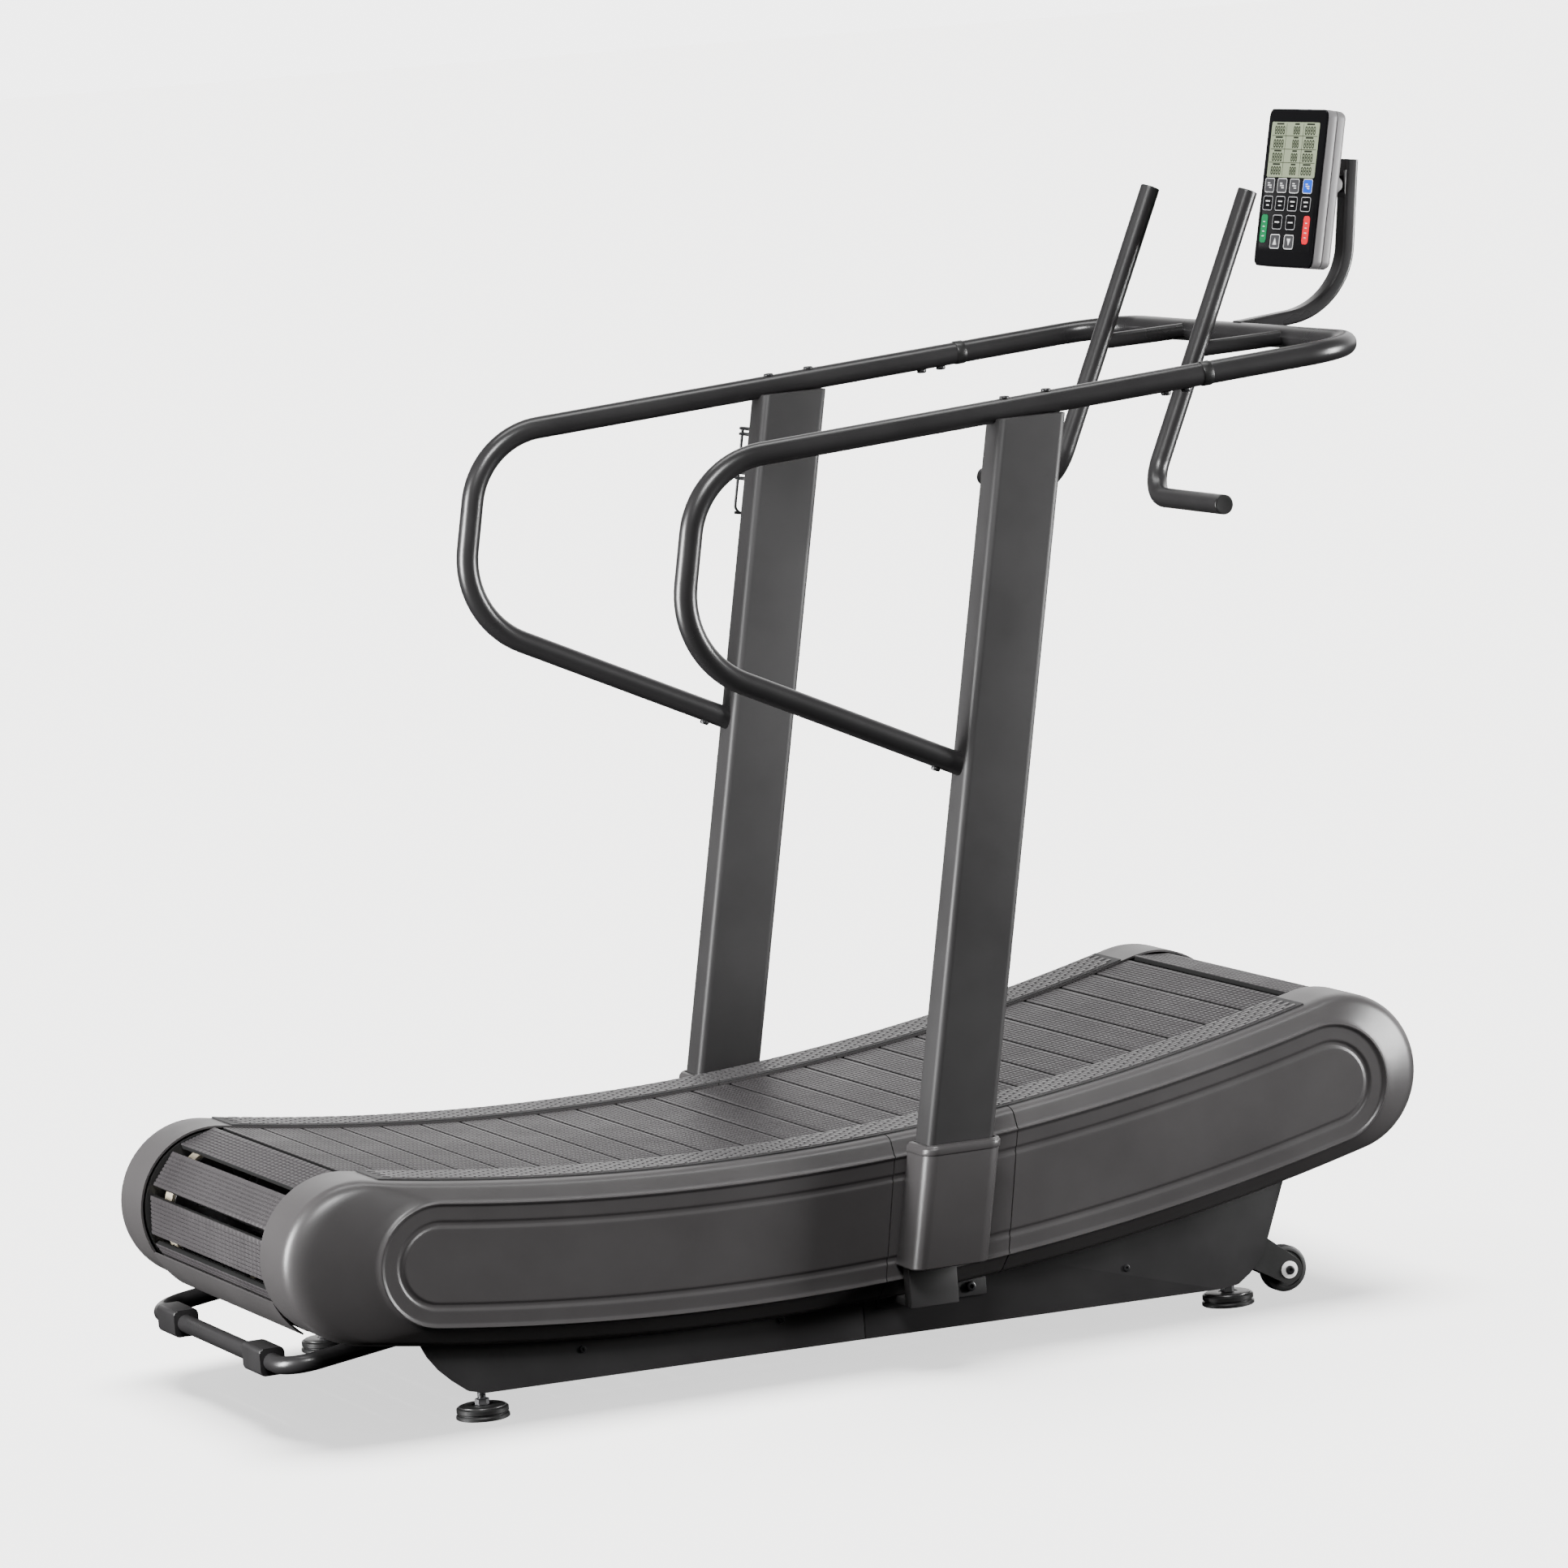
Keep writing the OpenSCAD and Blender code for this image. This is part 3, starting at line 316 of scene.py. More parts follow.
def swept(path, section, up=Vector((0, 1, 0)), loop=False, bm=None):
    """A section of (a, b) pairs carried along a path without twisting; a runs along up."""
    bm = bm or bmesh.new()
    n = len(path)
    rings = []
    side = None
    for i, p in enumerate(path):
        ahead = path[(i + 1) % n] if loop or i < n - 1 else p
        behind = path[i - 1] if loop or i else p
        t = (ahead - behind).normalized()
        side = up if side is None else side
        side = (side - t * side.dot(t)).normalized()
        other = t.cross(side)
        rings.append(ring(bm, [p + side * a + other * b for a, b in section]))
    skin(bm, rings)
    if loop:
        skin(bm, [rings[-1], rings[0]])
    else:
        bm.faces.new(rings[0])
        bm.faces.new(rings[-1])
    return bm


def circle(r, n=36):
    return [(r * math.cos(2 * math.pi * k / n), r * math.sin(2 * math.pi * k / n)) for k in range(n)]


def arc_points(r, start, end, steps):
    angles = [rad(start + (end - start) * k / steps) for k in range(steps + 1)]
    return [(r * math.cos(a), r * math.sin(a)) for a in angles]


def tube(points, radii, r, bm=None, n=36, up=Vector((0, 1, 0))):
    return swept(bent_path(points, radii), circle(r, n), up, bm=bm)


def lathe(profile, origin, axis, n=48, bm=None):
    """(radius, height) pairs turned about an axis; ends at radius 0 close themselves."""
    bm = bm or bmesh.new()
    axis = Vector(axis).normalized()
    side = axis.orthogonal().normalized()
    other = axis.cross(side)
    rings = []
    for r, h in profile:
        base = Vector(origin) + axis * h
        if r < 1e-6:
            rings.append([bm.verts.new(base)])
        else:
            rings.append(ring(bm, [base + side * a + other * b for a, b in circle(r, n)]))
    for a, b in zip(rings, rings[1:]):
        if len(a) == 1 or len(b) == 1:
            tip, other_ring = (a[0], b) if len(a) == 1 else (b[0], a)
            for i in range(n):
                bm.faces.new((tip, other_ring[i], other_ring[(i + 1) % n]))
        else:
            skin(bm, [a, b])
    return bm


def slab(outline, y0, y1, bevel=1.0, bm=None):
    """An XZ outline filled from y0 to y1, with rounded edges round both faces."""
    own = loft([[(p[0], y, p[1]) for p in outline] for y in (y0, y1)])
    ends = [f for f in own.faces if len(f.verts) == len(outline)]
    edges = list({e for f in ends for e in f.edges})
    bmesh.ops.bevel(own, geom=edges, offset=bevel, segments=3, profile=0.5, affect="EDGES")
    return absorb(bm, own)


def absorb(bm, own):
    """Adds one bmesh to another and gives back the sum."""
    if bm is None:
        return own
    mesh = bpy.data.meshes.new("scratch")
    own.to_mesh(mesh)
    own.free()
    bm.from_mesh(mesh)
    bpy.data.meshes.remove(mesh)
    return bm


def block(low, high, bevel=0.8, bm=None):
    """A box between two corners, with rounded edges."""
    own = bmesh.new()
    bmesh.ops.create_cube(own, size=1.0)
    low, high = Vector(low), Vector(high)
    size = high - low
    bmesh.ops.scale(own, vec=size, verts=own.verts)
    bmesh.ops.translate(own, vec=(low + high) / 2, verts=own.verts)
    bmesh.ops.bevel(own, geom=own.edges[:], offset=bevel, segments=2, profile=0.5, affect="EDGES")
    return absorb(bm, own)


def nut(origin, axis, r, h, bm=None):
    """A hex nut or bolt head with chamfered corners."""
    axis = Vector(axis).normalized()
    side = axis.orthogonal().normalized()
    other = axis.cross(side)
    rows = []
    for scale, at in ((0.9, 0.0), (1.0, 0.1 * h), (1.0, 0.9 * h), (0.9, h)):
        rows.append([Vector(origin) + axis * at + (side * a + other * b) * scale for a, b in circle(r, 6)])
    return absorb(bm, loft(rows))


def screw_head(origin, axis, r, h, bm=None):
    """A domed head with a socket in its middle."""
    profile = [(r * 0.98, 0), (r, h * 0.15), (r, h * 0.55), (r * 0.93, h * 0.85), (r * 0.75, h),
               (r * 0.46, h), (r * 0.42, h * 0.9), (r * 0.40, h * 0.35), (0, h * 0.3)]
    return absorb(bm, lathe(profile, origin, axis, 32))


# ======== covers
def stadium(mid, half, a0, a1, n_run=130, n_nose=36):
    """A closed loop round a curved band: top run forward, front end, bottom run back, rear end."""
    out = [polar(mid - half, a0 + (a1 - a0) * k / n_run) for k in range(n_run + 1)]
    for end, sign in ((a1, 1), (a0, -1)):
        radial = Vector((math.cos(end), math.sin(end)))
        along = Vector((-radial.y, radial.x)) * sign
        c = polar(mid, end)
        for k in range(1, n_nose):
            t = math.pi * k / n_nose
            out.append(c + half * (-sign * math.cos(t) * radial + math.sin(t) * along))
        if sign > 0:
            out += [polar(mid + half, a1 + (a0 - a1) * k / n_run) for k in range(n_run + 1)]
    return out


def shoulder():
    """(share of the way from the outer loop to the panel's loop, y): a crest, a slope, then a raised lip."""
    start, bend, crest = Vector((0.0, 350.0)), Vector((0.0, 372.0)), Vector((0.30, 379.5))
    steps = 14
    out = []
    for k in range(steps + 1):
        t = k / steps
        p = start * (1 - t) ** 2 + bend * 2 * t * (1 - t) + crest * t * t
        out.append((p.x, p.y))
    slope_end = Vector((0.93, 395.25))
    out += [tuple(crest + (slope_end - crest) * k / 5) for k in range(1, 6)]
    return out + [(0.955, 396.4), (0.975, 398.0), (0.99, 399.5), (1.0, FACE_Y)]


PANEL_STEPS = ((1.2, 0.2), (2.6, 1.2), (3.8, 2.4), (5.2, 2.9), (6.8, 3.0), (20.0, 3.0), (22.0, 3.0),
               (23.5, 3.3), (25.2, 4.9), (27.0, 5.4), (30.0, 5.4), (31.6, 5.0), (33.2, 3.4), (34.8, 3.0),
               (36.5, 3.0), (38.5, 3.0))


def cover_rows():
    """(outline, y) from the inner rim out over the rounded edge and in across the side face."""
    a = [arc_angle(x, COVER_MID) for x in NOSE_X]
    b = [arc_angle(x, PANEL_MID) for x in PANEL_X]
    outer = stadium(COVER_MID, NOSE_R, *a)
    inner = stadium(PANEL_MID, PANEL_R, *b)
    rows = [(outer, RIM_Y), (outer, ROUND_Y - 16)]
    for go, y in shoulder():
        rows.append(([p + (q - p) * go for p, q in zip(outer, inner)], y))
    for inset, drop in PANEL_STEPS:
        rows.append((stadium(PANEL_MID, PANEL_R - inset, *b), FACE_Y - drop))
    return rows


def cover_skin():
    bm = bmesh.new()
    rings = [ring(bm, [(p.x, y, p.y) for p in loop]) for loop, y in cover_rows()]
    skin(bm, rings)
    edges = [bm.edges.get((rings[-1][i], rings[-1][(i + 1) % len(rings[-1])])) for i in range(len(rings[-1]))]
    bmesh.ops.triangle_fill(bm, use_beauty=True, use_dissolve=False, edges=edges)
    under = [f for f in bm.faces
             if all(v.co.y < ROUND_Y - 10 for v in f.verts) and abs(f.normal.y) < 0.5 and is_under(f)]
    bmesh.ops.delete(bm, geom=under, context="FACES")
    return bm


def is_under(face):
    c = face.calc_center_median()
    return (Vector((c.x, c.z)) - ARC_C).length > COVER_MID + NOSE_R - 12 and UNDER_X[0] < c.x < UNDER_X[1]


def cut_at(bm, x0, keep_front):
    """Keeps one side of a cover seam; x0 is the seam's X at its lower end."""
    normal = Vector((1.0, 0.0, -SEAM_SLOPE)).normalized()
    bmesh.ops.bisect_plane(bm, geom=bm.verts[:] + bm.edges[:] + bm.faces[:], plane_co=(x0, 0, SEAM_Z),
                           plane_no=normal, clear_inner=keep_front, clear_outer=not keep_front)


def face_outward(bm):
    """Turns an open skin's faces so that those of the side face look along +Y."""
    bmesh.ops.recalc_face_normals(bm, faces=bm.faces)
    bm.normal_update()
    total = sum(f.normal.y * f.calc_area() for f in bm.faces if f.calc_center_median().y > FACE_Y - 6)
    if total < 0:
        bmesh.ops.reverse_faces(bm, faces=bm.faces)


def thicken(bm, wall):
    """Gives an open skin a wall inward, with a rim round every open edge."""
    bm.normal_update()
    skin_faces, skin_verts = bm.faces[:], bm.verts[:]
    rims = [(e.link_loops[0].vert, e.link_loops[0].link_loop_next.vert) for e in bm.edges if e.is_boundary]
    inner = {v: bm.verts.new(v.co - v.normal * wall) for v in skin_verts}
    for f in skin_faces:
        bm.faces.new([inner[v] for v in reversed(f.verts)])
    for a, b in rims:
        bm.faces.new((b, a, inner[a], inner[b]))


def covers():
    parts = (
        ("rear_cover", [(SEAM_X[0] - SEAM_GAP / 2, False)]),
        ("centre_cover", [(SEAM_X[0] + SEAM_GAP / 2, True), (SEAM_X[1] - SEAM_GAP / 2, False)]),
        ("front_cover", [(SEAM_X[1] + SEAM_GAP / 2, True)]),
    )
    for side, word in SIDES:
        for name, cuts in parts:
            bm = cover_skin()
            for x0, keep_front in cuts:
                cut_at(bm, x0, keep_front)
            face_outward(bm)
            thicken(bm, COVER_WALL)
            place(f"{name}_{word}_moulding", bm, "cover_plastic", stands_for=[f"{name}_{word}"],
                  mirror=side == RIGHT, close=False, sharp=40)


STRIP_X, STRIP_Y, STRIP_DEEP = (-706.0, 684.0), (264.0, 356.0), 1.9
STRIP_TOP = COVER_ARC - 2.0
DASH_ROWS, DASH_STEP, DASH_MARGIN = 8, 20.5, 10.5
DASH_LONG, DASH_WIDE, DASH_RISE = 17.6, 7.7, 1.3


def tread_strips():
    """The anti-slip strips beside the tread: a thin band and its staggered raised dashes."""
    start, end = (arc_angle(x, STRIP_TOP) for x in STRIP_X)
    for side, word in SIDES:
        place(f"tread_strip_{word}_grip", strip(start, end), "strip_rubber",
              stands_for=[f"tread_strip_{word}"], mirror=side == RIGHT)
        # the dashes' pale finish is partly grey rubber and partly a painted highlight
        place(f"tread_strip_{word}_dashes", dashes(start, end), "dash_grey_and_highlight",
              mirror=side == RIGHT)


def on_arc(r, a, y):
    p = polar(r, a)
    return Vector((p.x, y, p.y))


def strip(start, end, steps=150):
    y0, y1 = STRIP_Y
    section = [(y0, STRIP_DEEP), (y0, 0.6), (y0 + 0.8, 0.0), (y1 - 0.8, 0.0), (y1, 0.6), (y1, STRIP_DEEP)]
    angles = [start + (end - start) * k / steps for k in range(steps + 1)]
    return loft([[on_arc(STRIP_TOP + d, a, y) for y, d in section] for a in angles])


def dashes(start, end):
    bm = bmesh.new()
    y0, y1 = STRIP_Y[0] + DASH_MARGIN, STRIP_Y[1] - DASH_MARGIN
    for row in range(DASH_ROWS):
        y = y0 + (y1 - y0) * row / (DASH_ROWS - 1)
        for k in range(int((end - start) * STRIP_TOP / DASH_STEP) - 1):
            s = DASH_STEP * (k + 1 + (0.5 if row % 2 else 0.0))
            dash(bm, start + s / STRIP_TOP, y)
    return bm


def dash(bm, angle, y):
    """One raised dash, left open where it sinks into the strip."""
    radial = Vector((math.cos(angle), 0, math.sin(angle)))
    here = on_arc(STRIP_TOP, angle, y)
    rings = []
    for grow, lift in ((1.0, 0.2), (1.0, -DASH_RISE * 0.6), (0.86, -DASH_RISE)):
        half = Vector((-radial.z, 0, radial.x)) * DASH_LONG / 2 * grow
        wide = Vector((0, DASH_WIDE / 2 * grow, 0))
        corners = (-half - wide, half - wide, half + wide, wide - half)
        rings.append(ring(bm, [here + radial * lift + c for c in corners]))
    skin(bm, rings)
    bm.faces.new(rings[-1])


# ======== slats
def pose(s):
    """Pitch-line point and heading of the belt at run length s."""
    if s < S1:
        a = TH_REAR + s / RUN_R
        return polar(RUN_R, a), a + rad(90)
    if s < S2:
        a = TH_FRONT + math.pi - (s - S1) / BEND_R
        return FRONT + BEND_R * Vector((math.cos(a), math.sin(a))), a - rad(90)
    if s < S3:
        low = Vector((math.cos(BETA - rad(90)), math.sin(BETA - rad(90))))
        return FRONT + BEND_R * low - (s - S2) * RUN / RUN.length, BETA + math.pi
    a = BETA + rad(270) - (s - S3) / BEND_R
    return REAR + BEND_R * Vector((math.cos(a), math.sin(a))), a - rad(90)


def segment(s):
    s = s % S4
    return 0 if s < S1 else 1 if s < S2 else 2 if s < S3 else 3


def slat_profile():
    """Cross-section of a slat: along the run, then up from the pitch line; ribbed on top."""
    ribs, half, top, deep = 9, 26.1, 15.0, 13.8
    step = 2 * half / ribs
    line = [(-27.5, 13.7), (-27.0, 14.7)]
    for k in range(ribs):
        t = -half + step * k
        line += [(t + 0.3, top), (t + step - 2.0, top), (t + step - 1.6, deep), (t + step - 0.2, deep)]
    line = line[:-2] + [(27.0, 14.7), (27.5, 13.7)]
    under = [(27.5, 7.4), (26.9, 7), (23.4, 7), (23, 6.6), (23, 3.4), (22.4, 3), (-22.4, 3), (-23, 3.4),
             (-23, 6.6), (-23.4, 7), (-26.9, 7), (-27.5, 7.4)]
    return line + under


SLAT_MID, TREAD_LEVEL, CARRIER_HALF = 9.0, 13.5, 196.0


def add_slat(bm, s, profile):
    at, heading = pose(s)
    along = Vector((math.cos(heading), 0, math.sin(heading)))
    up = Vector((-along.z, 0, along.x))
    here = Vector((at.x, 0, at.y))
    rows = []
    for y, grow in ((-SLAT_HALF, 0.97), (-SLAT_HALF + 0.8, 1.0), (SLAT_HALF - 0.8, 1.0), (SLAT_HALF, 0.97)):
        mid = here + Vector((0, y, 0)) + up * SLAT_MID * (1 - grow)
        rows.append([mid + (along * t + up * n) * grow for t, n in profile])
    before = len(bm.faces)
    loft(rows, bm)
    bm.faces.ensure_lookup_table()
    count = len(profile)
    # faces off the ribbed top take slot 1, the painted shade for the dark gaps between slats
    for index, face in enumerate(bm.faces[before:]):
        i = index % count
        tread = profile[i][1] > TREAD_LEVEL and profile[(i + 1) % count][1] > TREAD_LEVEL
        face.material_index = 0 if tread and index < 3 * count else 1
    rib = [here + along * t + up * n for t, n in ((-3, 4), (-3, -8), (-2, -9), (2, -9), (3, -8), (3, 4))]
    loft([[p + Vector((0, y, 0)) for p in rib] for y in (-CARRIER_HALF, CARRIER_HALF)], bm)


def slats():
    inner = {0: ("slats_top", "belt_top"), 1: ("slats_front", "belt_front"),
             2: ("slats_return", "belt_return"), 3: ("slats_rear", "belt_rear")}
    crossing = {0: ("slat_rear_top", "cross_rear_top"), 1: ("slat_front_top", "cross_front_top"),
                2: ("slat_front_low", "cross_front_low"), 3: ("slat_rear_low", "cross_rear_low")}
    groups, profile = {}, slat_profile()
    for k in range(SLATS):
        s = S_FIRST + k * PITCH
        now, after = segment(s), segment(s - PITCH)
        groups.setdefault((inner if now == after else crossing)[now], []).append(s)
    for (name, body), places in groups.items():
        bm = bmesh.new()
        for s in places:
            add_slat(bm, s, profile)
        piece = place(f"{name}_ribbed", bm, "slat_rubber", body, [name], sharp=30)
        # slot 1 is painted shade on the slats' sides, undersides and ends
        piece.data.materials.append(FINISH["slat_gap_shade"])


# ======== base
FLANGE_Y = 353.9
SKIRT_Y, SKIRT_SEAM, SEAM_HALF = (346.0, 350.0), -15.0, 0.3


def clipped(outline, x0, side):
    """The part of a closed XZ outline on one side of x0."""
    out = []
    for a, b in zip(outline, outline[1:] + outline[:1]):
        inside_a, inside_b = (a[0] - x0) * side >= 0, (b[0] - x0) * side >= 0
        if inside_a:
            out.append(Vector(a))
        if inside_a != inside_b:
            out.append(Vector(a).lerp(Vector(b), (x0 - a[0]) / (b[0] - a[0])))
    return out


def skirts():
    points = [(-665, 150), (-665, 118), (-655, 98), (-640, 78), (-622, 61), (-600, 44), (-575, 38), (528, 28),
              (556, 31), (576, 45), (597, 68), (607, 92), (645, 192), (645, 216)]
    outline = round_corners(points, [2, 30, 14, 14, 14, 14, 30, 40, 10, 14, 14, 20, 2, 2], 5)
    for side, word in SIDES:
        bm = slab(clipped(outline, SKIRT_SEAM - SEAM_HALF, -1), *SKIRT_Y, 1.2)
        slab(clipped(outline, SKIRT_SEAM + SEAM_HALF, 1), *SKIRT_Y, 1.2, bm)
        slab([(4, 72), (170, 72), (170, 98), (4, 98)], 349.9, FLANGE_Y, 0.8, bm)
        place(f"skirt_{word}_panel", bm, "skirt_paint", stands_for=[f"skirt_{word}"], mirror=side == RIGHT)


PAD_WIDEN = 1.09
STUD_R, THREAD_STEP, THREAD_TURNS = 6.0, 1.5, 54
NUT_R, NUT_H, LOCK_Z = 10.0, 9.0, 53.0


def stud_profile():
    """Half outline of a threaded stud, as (radius, height)."""
    out = [(0, 20), (5.6, 20)]
    for k in range(THREAD_TURNS):
        z = 20.5 + THREAD_STEP * k
        out += [(STUD_R, z), (STUD_R - 0.6, z + THREAD_STEP / 2)]
    return out + [(5.4, 103), (0, 104)]


def feet():
    pad = [(0, 0), (32.5, 0), (34, 1.2), (34, 4.6), (33, 6), (31, 6.6), (31, 7.6), (32, 8.2), (33, 9),
           (33, 14.6), (32, 15.8), (30, 16.4), (29.5, 17.6), (27, 18.5), (13, 18.5), (12, 17.6), (0, 17.6)]
    pad = [(r * PAD_WIDEN, h) for r, h in pad]
    names = {(0, RIGHT): ("foot_rear_right", "foot_rr"), (0, LEFT): ("foot_rear_left", "foot_rl"),
             (1, RIGHT): ("foot_front_right", "foot_fr"), (1, LEFT): ("foot_front_left", "foot_fl")}
    locks = bmesh.new()
    for (i, side), (name, body) in names.items():
        at = Vector((FOOT_X[i], FOOT_Y * side, 0))
        place(f"{name}_pad", lathe(pad, at, UP, 64), "black_plastic", body, [name])
        bm = lathe(stud_profile(), at, UP, 24)
        nut(at + Vector((0, 0, 18)), UP, NUT_R, NUT_H, bm)
        place(f"{name}_stud", bm, "steel", body, sharp=25)
        nut(at + Vector((0, 0, LOCK_Z)), UP, NUT_R, NUT_H, locks)
    place("lock_nuts", locks, "steel", stands_for=["locknuts"], sharp=25)


def wheels():
    tyre = [(5.1, -11), (12, -11), (13, -9.5), (25, -9.5), (26, -11), (30, -11), (32.2, -9.8), (33, -7.5),
            (33, -3.2), (32.3, -2.6), (32.3, 2.6), (33, 3.2), (33, 7.5), (32.2, 9.8), (30, 11), (26, 11),
            (25, 9.5), (13, 9.5), (12, 11), (5.1, 11), (5.1, -11)]
    for side, word in SIDES:
        at = Vector((WHEEL.x, WHEEL.y * side, WHEEL.z))
        place(f"wheel_{word}_tyre", lathe(tyre, at, (0, 1, 0), 72), "wheel_rubber", f"wheel_{word[0]}",
              [f"wheel_{word}"])
    bolts, washers = bmesh.new(), bmesh.new()
    hub = Vector((WHEEL.x, 0, WHEEL.z))
    washer = [(5.2, 345.9), (12, 345.9), (12.5, 346.3), (12.5, 347.2), (12, 347.5), (5.2, 347.5),
              (5.2, 345.9)]
    for side in (RIGHT, LEFT):
        out = Vector((0, side, 0))
        inner, outer = AXLE_Y
        lathe([(0, inner), (5, inner), (5, outer), (0, outer)], hub, out, 32, bolts)
        nut(hub + out * inner, out, 9, 6, bolts)
        screw_head(hub + out * (outer - 1.4), out, 6.5, 4, bolts)
        lathe(washer, hub, out, 40, washers)
    place("axle_bolts_black", bolts, "bolt_black", stands_for=["axle_bolts"])
    place("axle_washers", washers, "white_nylon")


HANDLE = Vector((-835.0, 293.0, 100.0))
BLOCK_Y, BLOCK_BACK = (149.0, 225.0), -852.0


def rear_handle():
    x, y, z = HANDLE
    path = [(-602, -y, 133), (x, -y, z), (x, y, z), (-602, y, 133)]
    place("rear_handle_tube", tube(path, [45, 45], 12.5, up=UP), "graphite_paint", stands_for=["rear_handle"])
    bm, rings = bmesh.new(), bmesh.new()
    outline = [(a + x + 1, b + z) for a, b in rect(36, 38, 6)]
    for side in (RIGHT, LEFT):
        slab(outline, *sorted(side * y for y in BLOCK_Y), 2.0, bm)
        for d in (-26, 26):
            lathe([(5.2, -0.1), (5.2, 0.35), (4.4, 0.5), (3.4, 0.2), (3.1, -0.1)],
                  (BLOCK_BACK + 0.5, side * sum(BLOCK_Y) / 2 + d, z), (-1, 0, 0), 24, rings)
    place("handle_blocks_moulded", bm, "skirt_paint", stands_for=["handle_blocks"])
    place("handle_block_rings", rings, "steel")


TAIL_R, TAIL_Y, TAIL_START, TAIL_SWEEP = (121.0, 123.6), 261.5, 204.0, 29.0


def rear_panel():
    """The thin curved sheet under the belt's rear end."""
    section = [(TAIL_R[0], -TAIL_Y), (TAIL_R[0], TAIL_Y), (TAIL_R[1], TAIL_Y), (TAIL_R[1], -TAIL_Y)]
    rows = []
    for a, b in arc_points(1.0, TAIL_START, TAIL_START + TAIL_SWEEP, 40):
        rows.append([(REAR.x + r * a, y, REAR.y + r * b) for r, y in section])
    place("rear_panel_curved", loft(rows), "cover_plastic", stands_for=["rear_panel"])


# ======== uprights and boots
UPRIGHT_END, BOOT_END = 1290.0, 308.0


def leaned(section, z):
    """Horizontal cut at height z of a section square to the lean."""
    return [Vector((upright_x(z) + a / math.cos(LEAN), RAIL_Y + b, z)) for a, b in section]


def uprights():
    w, t, r = UPRIGHT_W, UPRIGHT_T, 10.0
    levels = [(146.0, 1.5), (146.6, 0.4), (147.6, 0.0), (1288.6, 0.0), (1289.6, 0.4), (UPRIGHT_END, 1.4)]
    for side, word in SIDES:
        bm = loft([leaned(rect(w, t, r, 10, inset), z) for z, inset in levels])
        block((26, 403, 80), (98, 426, 147), 2.0, bm)
        block((26.5, 350, 80.5), (97.5, 404, 92), 2.0, bm)
        place(f"upright_{word}_post", bm, "upright_paint", stands_for=[f"upright_{word}"],
              mirror=side == RIGHT)


def boot_section(inset):
    """Boot outline about the upright's centre: rounded outside, square against the cover."""
    half, back, out = 56.0 - inset, 400.4 - RAIL_Y + max(inset, 0), 470.0 - RAIL_Y - inset
    r = 19.0 - min(inset, 10)
    return round_corners([(-half, back), (half, back), (half, out), (-half, out)], [0.4, 0.4, r, r], 10)


def boots():
    outer = [(139.0, 2.2), (139.7, 0.9), (141.2, 0.0), (294.5, 0.0), (295.4, -1.2), (296.4, -1.6),
             (303.0, -1.6), (304.2, -1.2), (305.0, -0.2), (307.0, 0.6), (BOOT_END, 2.4)]
    for side, word in SIDES:
        bm = bmesh.new()
        rings = [ring(bm, leaned(boot_section(i), z)) for z, i in outer]
        skin(bm, rings)
        bm.faces.new(rings[0])
        hole = match_loop(leaned(boot_section(2.4), BOOT_END), UPRIGHT_W / 2 + 2, UPRIGHT_T / 2 + 2)
        top = ring(bm, hole)
        deep = ring(bm, [p + Vector((-1.9, 0, -10)) for p in hole])
        skin(bm, [rings[-1], top, deep])
        bm.faces.new(deep)
        place(f"boot_{word}_moulding", bm, "cover_plastic", stands_for=[f"boot_{word}"],
              mirror=side == RIGHT, sharp=32)


def match_loop(loop, half_w, half_t):
    """The boot's opening: a rectangle with one point for each point of the outer loop."""
    centre = Vector((upright_x(BOOT_END), RAIL_Y, BOOT_END))
    out = []
    for p in loop:
        d = p - centre
        k = min(half_w / math.cos(LEAN) / max(abs(d.x), 1e-6), half_t / max(abs(d.y), 1e-6))
        out.append(centre + Vector((d.x * k, d.y * k, 0)))
    return out


# ======== rails and bars
LOOP_START, LOOP_FRONT = 560.0, 822.0
RAIL_BENDS = ((-193.7, 1269.7), (-242.7, 1011.9))
RAIL_END = (175.0, 813.9)


def handrails():
    corners = ((LOOP_START, rail_z(LOOP_START)), *RAIL_BENDS, RAIL_END)
    path = [(x, RAIL_Y, z) for x, z in corners]
    for side, word in SIDES:
        place(f"handrail_{word}_tube", tube(path, [120, 130], RAIL_R, n=48), "graphite_paint",
              stands_for=[f"handrail_{word}"], mirror=side == RIGHT)


def front_loop():
    start, z = rail_z(LOOP_START), rail_z(LOOP_FRONT) + 0.2
    path = [(LOOP_START, -RAIL_Y, start), (LOOP_FRONT, -RAIL_Y, z), (LOOP_FRONT, RAIL_Y, z),
            (LOOP_START, RAIL_Y, start)]
    place("front_loop_tube", tube(path, [100, 100], RAIL_R, n=48, up=UP), "graphite_paint",
          stands_for=["front_loop"])
    collars = bmesh.new()
    along = Vector((LOOP_FRONT - LOOP_START, 0, z - start)).normalized()
    profile = [(16.0, 0), (16.9, 0.2), (17.2, 0.8), (17.2, 13.2), (16.9, 13.8), (16.0, 14), (16.0, 0)]
    for side in (RIGHT, LEFT):
        lathe(profile, (LOOP_START, side * RAIL_Y, start), along, 48, collars)
    place("rail_collars", collars, "black_plastic")


BAR_TOP, BAR_LOW = Vector((774.5, 0, 1548)), Vector((589, 0, 1135))
BAR_Y, BAR_END_Y, BAR_R, STRUT_Z = 165.0, 412.0, 14.0, 1334.0


